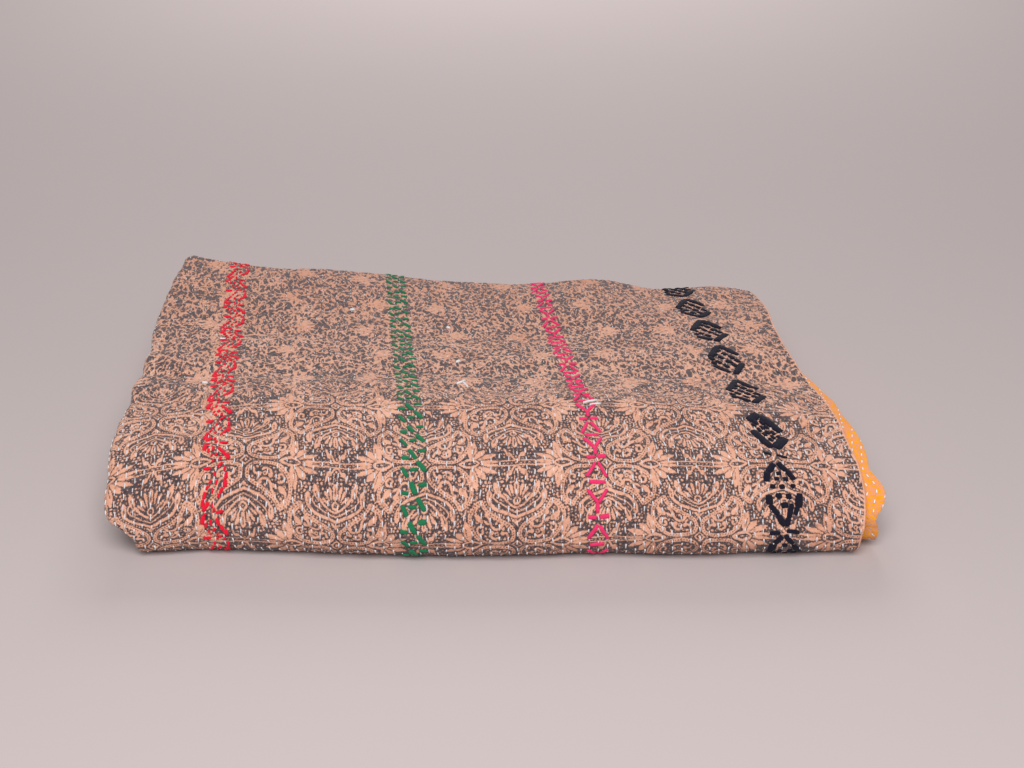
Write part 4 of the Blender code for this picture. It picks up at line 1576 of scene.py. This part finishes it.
# v range of a band that runs over the whole outer ply
EVERYWHERE = (-1.0, 1.0)
BANDS = (
    # name, thread, middle in u, v of the first knot, repeat, its share on top,
    # v range, wear, chart
    ("red_band", "red", -0.2230, 0.0240, 0.0586, 1.0, EVERYWHERE, 0.4, RED_BAND),
    ("green_band", "green", -0.0598, 0.0025, 0.0293, 1.0, EVERYWHERE, 1.0, GREEN_BAND),
    ("pink_band", "pink", 0.0893, 0.0, 0.0535, 0.81, EVERYWHERE, 0.9, PINK_BAND),
    ("navy_band", "navy", 0.2405, 0.0, 0.0670, 1.0, (-1.0, 0.001), 0.0, NAVY_BAND),
    ("navy_star", "navy", 0.2405, 0.0, 1.0, 1.0, (-0.1, 0.02), 0.0, NAVY_STAR),
    ("navy_box", "navy", 0.2380, 0.0370, 1.0, 1.0, (0.012, 0.072), 0.0, NAVY_BOX),
    ("navy_top_band", "navy", 0.2380, 0.1090, 0.0720, 1.0, (0.072, 1.0), 0.0, NAVY_TOP_BAND),
)
# places where the bands and the running stitch end, and how thick they lie
MILLIMETRE = 0.001
BANDS_END = 3.55
STITCHES_END = 3.6
BAND_RISE = 0.0009
LOOSE_RISE = 0.0018
# lift over the cloth, and share of the puckers that the thread follows
RUNNING_LIE = (0.00015, 0.9)
BAND_LIE = (0.0004, 0.45)
# how far a stitch goes astray: in u, v, turn, and shares of length and width
BAND_STRAY = np.array([0.00035, 0.00035, 3.0, 0.05, 0.06])
STITCH_STRAY_U, STITCH_STRAY_V = 0.00018, 0.0004
STITCH_STRAY_TURN = 5.5
STITCH_STRAY_LENGTH, STITCH_STRAY_WIDTH = 0.13, 0.12
# numbers of the rows tried, and the flat distances between which they show
ROW_NUMBERS = np.arange(-50, 46)
FIRST_ROW = -0.002
LAST_ROW = FLAT_HALF_WIDTH - 0.0025
# share of missing stitches on the front, what the worn top adds, and how much
# smaller its stitches are
STITCHES_MISSING, WORN_MISSING, WORN_SHRINK = 0.04, 0.50, 0.40
# share by which the thread of the bands is thinner on the front, and what the
# top adds
THINNED_FRONT, THINNED_TOP = 0.10, 0.12
# v where the wear of the thread starts, and the length over which it grows
THREAD_WORN = (0.01, 0.11)
# loose ends of thread, in metres
LOOSE_ENDS = (
    # u, v, turn, length, width
    (-0.0115, 0.1260, 48.0, 0.0135, 0.0016),
    (-0.0080, 0.1200, -70.0, 0.0110, 0.0015),
    (0.0950, 0.0710, 22.0, 0.0150, 0.0011),
    (0.0985, 0.0660, 12.0, 0.0110, 0.0010),
    (-0.1060, 0.3220, 15.0, 0.0050, 0.0024),
    (-0.0120, 0.2900, -20.0, 0.0040, 0.0022),
    (-0.0100, 0.1860, 30.0, 0.0050, 0.0020),
    (-0.2310, 0.2290, 10.0, 0.0060, 0.0018),
    (-0.2390, 0.1210, -25.0, 0.0060, 0.0015),
)
THREADS = (
    # name, colour, darker colour, sheen
    ("red", (255, 18, 58), (222, 10, 44), 0.10),
    ("green", (30, 134, 88), (14, 94, 60), 0.12),
    ("pink", (255, 60, 124), (240, 34, 94), 0.12),
    ("navy", (26, 26, 46), (11, 11, 22), 0.04),
)
WHITE_SHEEN = 0.2
# strands a metre, side by side in a thread
FINE_STRANDS = 700.0
THICK_STRANDS = 850.0
# length of a grid cell on the shown part and on the rest of the cloth
FINE_CELL = 0.00264
COARSE_CELL = 0.0085
PLAIN_BOAT = (
    # stations along, beam at each, profile aside, crown over it
    (-0.7, 0.7),
    (1.0, 1.0),
    (-0.5, 0.0, 0.5),
    (-0.2, 1.0, -0.2),
)
FINE_BOAT = (
    # stations along, beam at each, profile aside, crown over it
    (-0.9, -0.45, 0.0, 0.45, 0.9),
    (0.85, 1.0, 1.0, 1.0, 0.85),
    (-0.5, -0.36, 0.0, 0.36, 0.5),
    (-0.4, 0.7, 1.0, 0.7, -0.4),
)
# how far the tips of a boat lie under the cloth, in rises
TIP_DEPTH = 0.7

# ---- studio -----------------------------------------------------------------
FLOOR_REACH = 4.0
FLOOR_LINES = 9
SWEEP_LINES = 25
SWEEP_RADIUS = 1.0
WALL_HEIGHT = 4.0
LIGHTS = (
    # name, place, target, size, power
    ("front_softbox", (0.0, -1.65, 1.8), (0.0, 0.2, 0.0), 1.5, 55.5),
    ("rear_softbox", (0.0, 2.7, 1.8), (0.0, 2.0, 0.0), 1.6, 42.0),
)
LIGHT_COLOUR = (1.0, 0.97, 0.975)
AIR_COLOUR = (1.0, 0.97, 0.97, 1.0)
AIR_STRENGTH = 0.20
SENSOR_WIDTH = 36.0
# focal length and image width, both in pixels
FOCAL_PIXELS = 1525
IMAGE_PIXELS = 1024
CAMERA_PLACE = (0.0204, -1.2932, 0.684)
CAMERA_TILT = 64.0
CLIP_RANGE = (0.05, 30.0)


def over_face(u, v, lift, gap, follow):
    """Point over the printed side that follows a share of the puckers.

    Its lift is lift + gap - (1 - follow) puckers.
    """
    across, place = bundle_place(u, v)
    return face_point(across, place, lift + gap - (1 - follow) * puckers(u, v))


def on_face(u, v, lift):
    """Point for the running stitch, which follows nearly all of the puckers."""
    return over_face(u, v, lift, *RUNNING_LIE)


def on_bands(u, v, lift):
    """Point for thick thread, which spans the puckers and lies a bit higher."""
    return over_face(u, v, lift, *BAND_LIE)


def top_wear(v):
    """Share of wear, from 0 on the front to 1 on the top of the bundle."""
    return np.clip((v - THREAD_WORN[0]) / THREAD_WORN[1], 0, 1)


def band_stitches(name, middle, first_knot, repeat, top_share, reach, thinned, chart, material):
    """One band: its chart repeated along v, each stitch a little astray.

    Above the first knot the repeat and the heights in the chart are
    multiplied by top_share; reach is the band's lowest and highest v; thinned
    says how much of the common wear the thread has.
    """
    rng = np.random.default_rng(len(name) * 7 + len(chart))
    start, end = np.interp([OUTER_START, BANDS_END], place_table, upper_length)
    lowest = math.floor((start - first_knot) / repeat)
    highest = math.ceil((end - first_knot) / repeat) + 1
    knots = np.arange(lowest, highest + 1)
    scale = np.repeat(np.where(knots > 0, top_share, 1.0), len(chart))
    shift = np.repeat(knots * repeat, len(chart)) * scale
    rows = np.tile(np.asarray(chart), (len(knots), 1))
    astray = rng.normal(0, 1, rows.shape) * BAND_STRAY
    u = middle + rows[:, 0] * MILLIMETRE + astray[:, 0]
    v = first_knot + shift + rows[:, 1] * MILLIMETRE * scale + astray[:, 1]
    turns = np.radians(rows[:, 2] + astray[:, 2])
    kept = 1 - thinned * (THINNED_FRONT + THINNED_TOP * top_wear(v))
    lengths = rows[:, 3] * MILLIMETRE * (1 + astray[:, 3]) * kept
    widths = rows[:, 4] * MILLIMETRE * (1 + astray[:, 4]) * kept
    inside = (v > max(start, reach[0])) & (v < min(end, reach[1]))
    return boats(
        name, np.stack([u, v], axis=-1)[inside], turns[inside], lengths[inside],
        widths[inside], np.full(inside.sum(), BAND_RISE), on_bands, material, FINE_BOAT,
    )


def running_stitches(name, material):
    """White running stitch in rows along v over the whole outer ply.

    A stitch lies in the middle of its pitch, later by the phase of its row; on
    the worn top more are missing and the rest are smaller.
    """
    rng = np.random.default_rng(21)
    start, end = np.interp([OUTER_START, STITCHES_END], place_table, upper_length)
    counts = np.arange(math.floor(start / STITCH_PITCH) - 2, math.ceil(end / STITCH_PITCH) + 2)
    number, count = (grid.ravel() for grid in np.meshgrid(ROW_NUMBERS, counts, indexing="ij"))
    v = (count + 0.5 - row_phase(number) % 1.0) * STITCH_PITCH
    u = ROW_START + number * ROW_PITCH + row_wander(v)
    v = v + rng.normal(0, STITCH_STRAY_V, v.shape)
    u = u + rng.normal(0, STITCH_STRAY_U, u.shape)
    across, _ = bundle_place(u, np.clip(v, start, end))
    shown = (across > FIRST_ROW) & (across < LAST_ROW) & (v > start) & (v < end)
    worn = top_wear(v)
    shown &= rng.random(v.shape) > STITCHES_MISSING + WORN_MISSING * worn
    u, v, kept = u[shown], v[shown], 1 - WORN_SHRINK * worn[shown]
    size = len(u)
    return boats(
        name, np.stack([u, v], axis=-1), np.radians(90 + rng.normal(0, STITCH_STRAY_TURN, size)),
        STITCH_LENGTH * kept * (1 + rng.normal(0, STITCH_STRAY_LENGTH, size)),
        STITCH_WIDTH * kept * (1 + rng.normal(0, STITCH_STRAY_WIDTH, size)),
        STITCH_RISE * kept, on_face, material, PLAIN_BOAT,
    )


def loose_ends(name, material):
    """Cut ends of white thread that lie over the cloth and the bands."""
    u, v, turns, lengths, widths = np.array(LOOSE_ENDS).T
    return boats(
        name, np.stack([u, v], axis=-1), np.radians(turns), lengths, widths,
        np.full(len(u), LOOSE_RISE), on_bands, material, FINE_BOAT,
    )


# ---- the cloths -------------------------------------------------------------


def cloth_grid(across_knots, place_knots):
    """Grid of places in the bundle with its middle, facing and relief."""
    across, place = np.meshgrid(across_knots, place_knots, indexing="ij")
    on_cloth = cloth_place(across, place)
    return across, place, *middle_and_facing(across, place), puckers(*on_cloth), creases(*on_cloth)


def cloth_piece(name, grid, core, thickness, follows, kept, material):
    """One cloth of the quilt as a slab.

    Each skin lies at middle + facing (core +/- half the thickness, thinned at
    the hems, + its share of the puckers + the creases).
    """
    across, place, middle, facing, bumps, bend = grid
    half = thickness / 2 * hem_thinning(across)
    top, bottom = (
        middle + facing * (core + side * half + follow * bumps + bend)[..., None]
        for side, follow in zip((1, -1), follows)
    )
    return slab(name, across, place, over_floor(top), bottom, kept, material)


print_shown = printed_cotton("printed_cotton_shown", False)
print_hidden = printed_cotton("printed_cotton_folded", True)
orange_cloth = orange_cotton()

outer_grid = cloth_grid(
    across_places(OUTER_EDGE, FLAT_HALF_WIDTH, ROW_PITCH / 2),
    places_by_length(OUTER_START, OUTER_END, FINE_CELL),
)
every_cell = np.ones(np.subtract(outer_grid[0].shape, 1), bool)
# height of a cloth's core, its thickness, and the share of the puckers in the
# upper and the lower skin
printed_cloth = (HALF_PLY - PRINTED_THICKNESS / 2, PRINTED_THICKNESS, (1.0, 0.5))
face_outer = cloth_piece(
    "face_cloth_outer", outer_grid, *printed_cloth, every_cell, print_shown
)

across_knots = across_places(-FLAT_HALF_WIDTH, FLAT_HALF_WIDTH, COARSE_CELL)
across_knots[np.searchsorted(across_knots, OUTER_EDGE)] = OUTER_EDGE
place_knots = np.concatenate([
    places_by_length(0.0, OUTER_START, COARSE_CELL)[:-1],
    places_by_length(OUTER_START, OUTER_END, COARSE_CELL)[:-1],
    places_by_length(OUTER_END, float(RUNS), COARSE_CELL),
])
whole_grid = cloth_grid(across_knots, place_knots)
cell_across = 0.5 * (across_knots[1:] + across_knots[:-1])[:, None]
cell_place = 0.5 * (place_knots[1:] + place_knots[:-1])[None, :]
outer_cells = (cell_across > OUTER_EDGE) & (cell_place > OUTER_START) & (cell_place < OUTER_END)
face_inner = cloth_piece(
    "face_cloth_folded", whole_grid, *printed_cloth, ~outer_cells, print_hidden
)
backing_cloth = (BACKING_THICKNESS / 2 - HALF_PLY, BACKING_THICKNESS, (0.5, 0.6))
backing = cloth_piece(
    "backing_cloth", whole_grid, *backing_cloth, np.ones_like(outer_cells), orange_cloth
)

# ---- the stitches -----------------------------------------------------------
white_thread = cotton_thread(
    "white_thread", WHITE_THREAD, WHITE_THREAD_SHADE, FINE_STRANDS, WHITE_SHEEN
)
stitches = running_stitches("running_stitches", white_thread)
ends = loose_ends("loose_thread_ends", white_thread)
threads = {
    name: cotton_thread(f"{name}_thread", srgb(*colour), srgb(*dark), THICK_STRANDS, sheen)
    for name, colour, dark, sheen in THREADS
}
bands = [
    band_stitches(name, *measures, threads[thread]) for name, thread, *measures in BANDS
]

for piece in (face_outer, face_inner, backing, stitches, ends, *bands):
    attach(piece, "root")
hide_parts("printed_cloth")
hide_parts("printed_cloth")
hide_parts("orange_backing")

# ---- floor, light and camera ------------------------------------------------


def studio_floor(name, material):
    """Floor that sweeps up to a wall behind: a quarter circle joins them."""
    span = np.linspace(-FLOOR_REACH, FLOOR_REACH, FLOOR_LINES)
    turn = np.linspace(0, np.pi / 2, SWEEP_LINES)
    rear = FLOOR_REACH + SWEEP_RADIUS
    depth = np.concatenate([[-FLOOR_REACH], FLOOR_REACH + SWEEP_RADIUS * np.sin(turn), [rear]])
    height = np.concatenate([[0.0], SWEEP_RADIUS * (1.0 - np.cos(turn)), [WALL_HEIGHT]])
    x, y = np.meshgrid(span, depth, indexing="ij")
    points = np.stack([x, y, np.broadcast_to(height, x.shape)], axis=-1).reshape(-1, 3)
    return make_piece(name, points, cell_corners(*x.shape).reshape(-1, 4), material)


def studio_paper():
    """Grey paper: two greys mixed by a slow noise."""
    paint = Paint("studio_paper", {"Specular IOR Level": 0.1})
    objects = paint.node("ShaderNodeTexCoord", (), (), "Object")
    clouds = paint.noise(objects, *PAPER_CLOUDS)
    tone = paint.mixed(clouds * PAPER_DEEPENS, FLOOR_GREY, FLOOR_GREY_DEEP)
    return paint.finish(tone, clouds.line(*PAPER_ROUGHNESS), clouds * PAPER_RELIEF)


floor = studio_floor("floor", studio_paper())


def area_light(name, place, target, size, power):
    """Square soft light at a place; its turns face it at the target."""
    data = bpy.data.lights.new(name, "AREA")
    data.shape = "SQUARE"
    data.size = size
    data.energy = power
    data.color = LIGHT_COLOUR
    lamp = bpy.data.objects.new(name, data)
    bpy.context.scene.collection.objects.link(lamp)
    aim = np.asarray(target, float) - np.asarray(place, float)
    aim /= np.linalg.norm(aim)
    lamp.location = place
    lamp.rotation_euler = (math.acos(-aim[2]), 0.0, math.atan2(-aim[0], aim[1]))


for light in LIGHTS:
    area_light(*light)

world = bpy.data.worlds.new("studio_air")
world.use_nodes = True
air = world.node_tree.nodes["Background"]
air.inputs["Color"].default_value = AIR_COLOUR
air.inputs["Strength"].default_value = AIR_STRENGTH
bpy.context.scene.world = world
bpy.context.scene.view_settings.view_transform = "Standard"

lens = bpy.data.cameras.new("camera")
lens.sensor_width = SENSOR_WIDTH
lens.lens = FOCAL_PIXELS / IMAGE_PIXELS * SENSOR_WIDTH
lens.clip_start, lens.clip_end = CLIP_RANGE
camera = bpy.data.objects.new("camera", lens)
camera.location = CAMERA_PLACE
camera.rotation_euler = (math.radians(CAMERA_TILT), 0.0, 0.0)
bpy.context.scene.collection.objects.link(camera)
bpy.context.scene.camera = camera
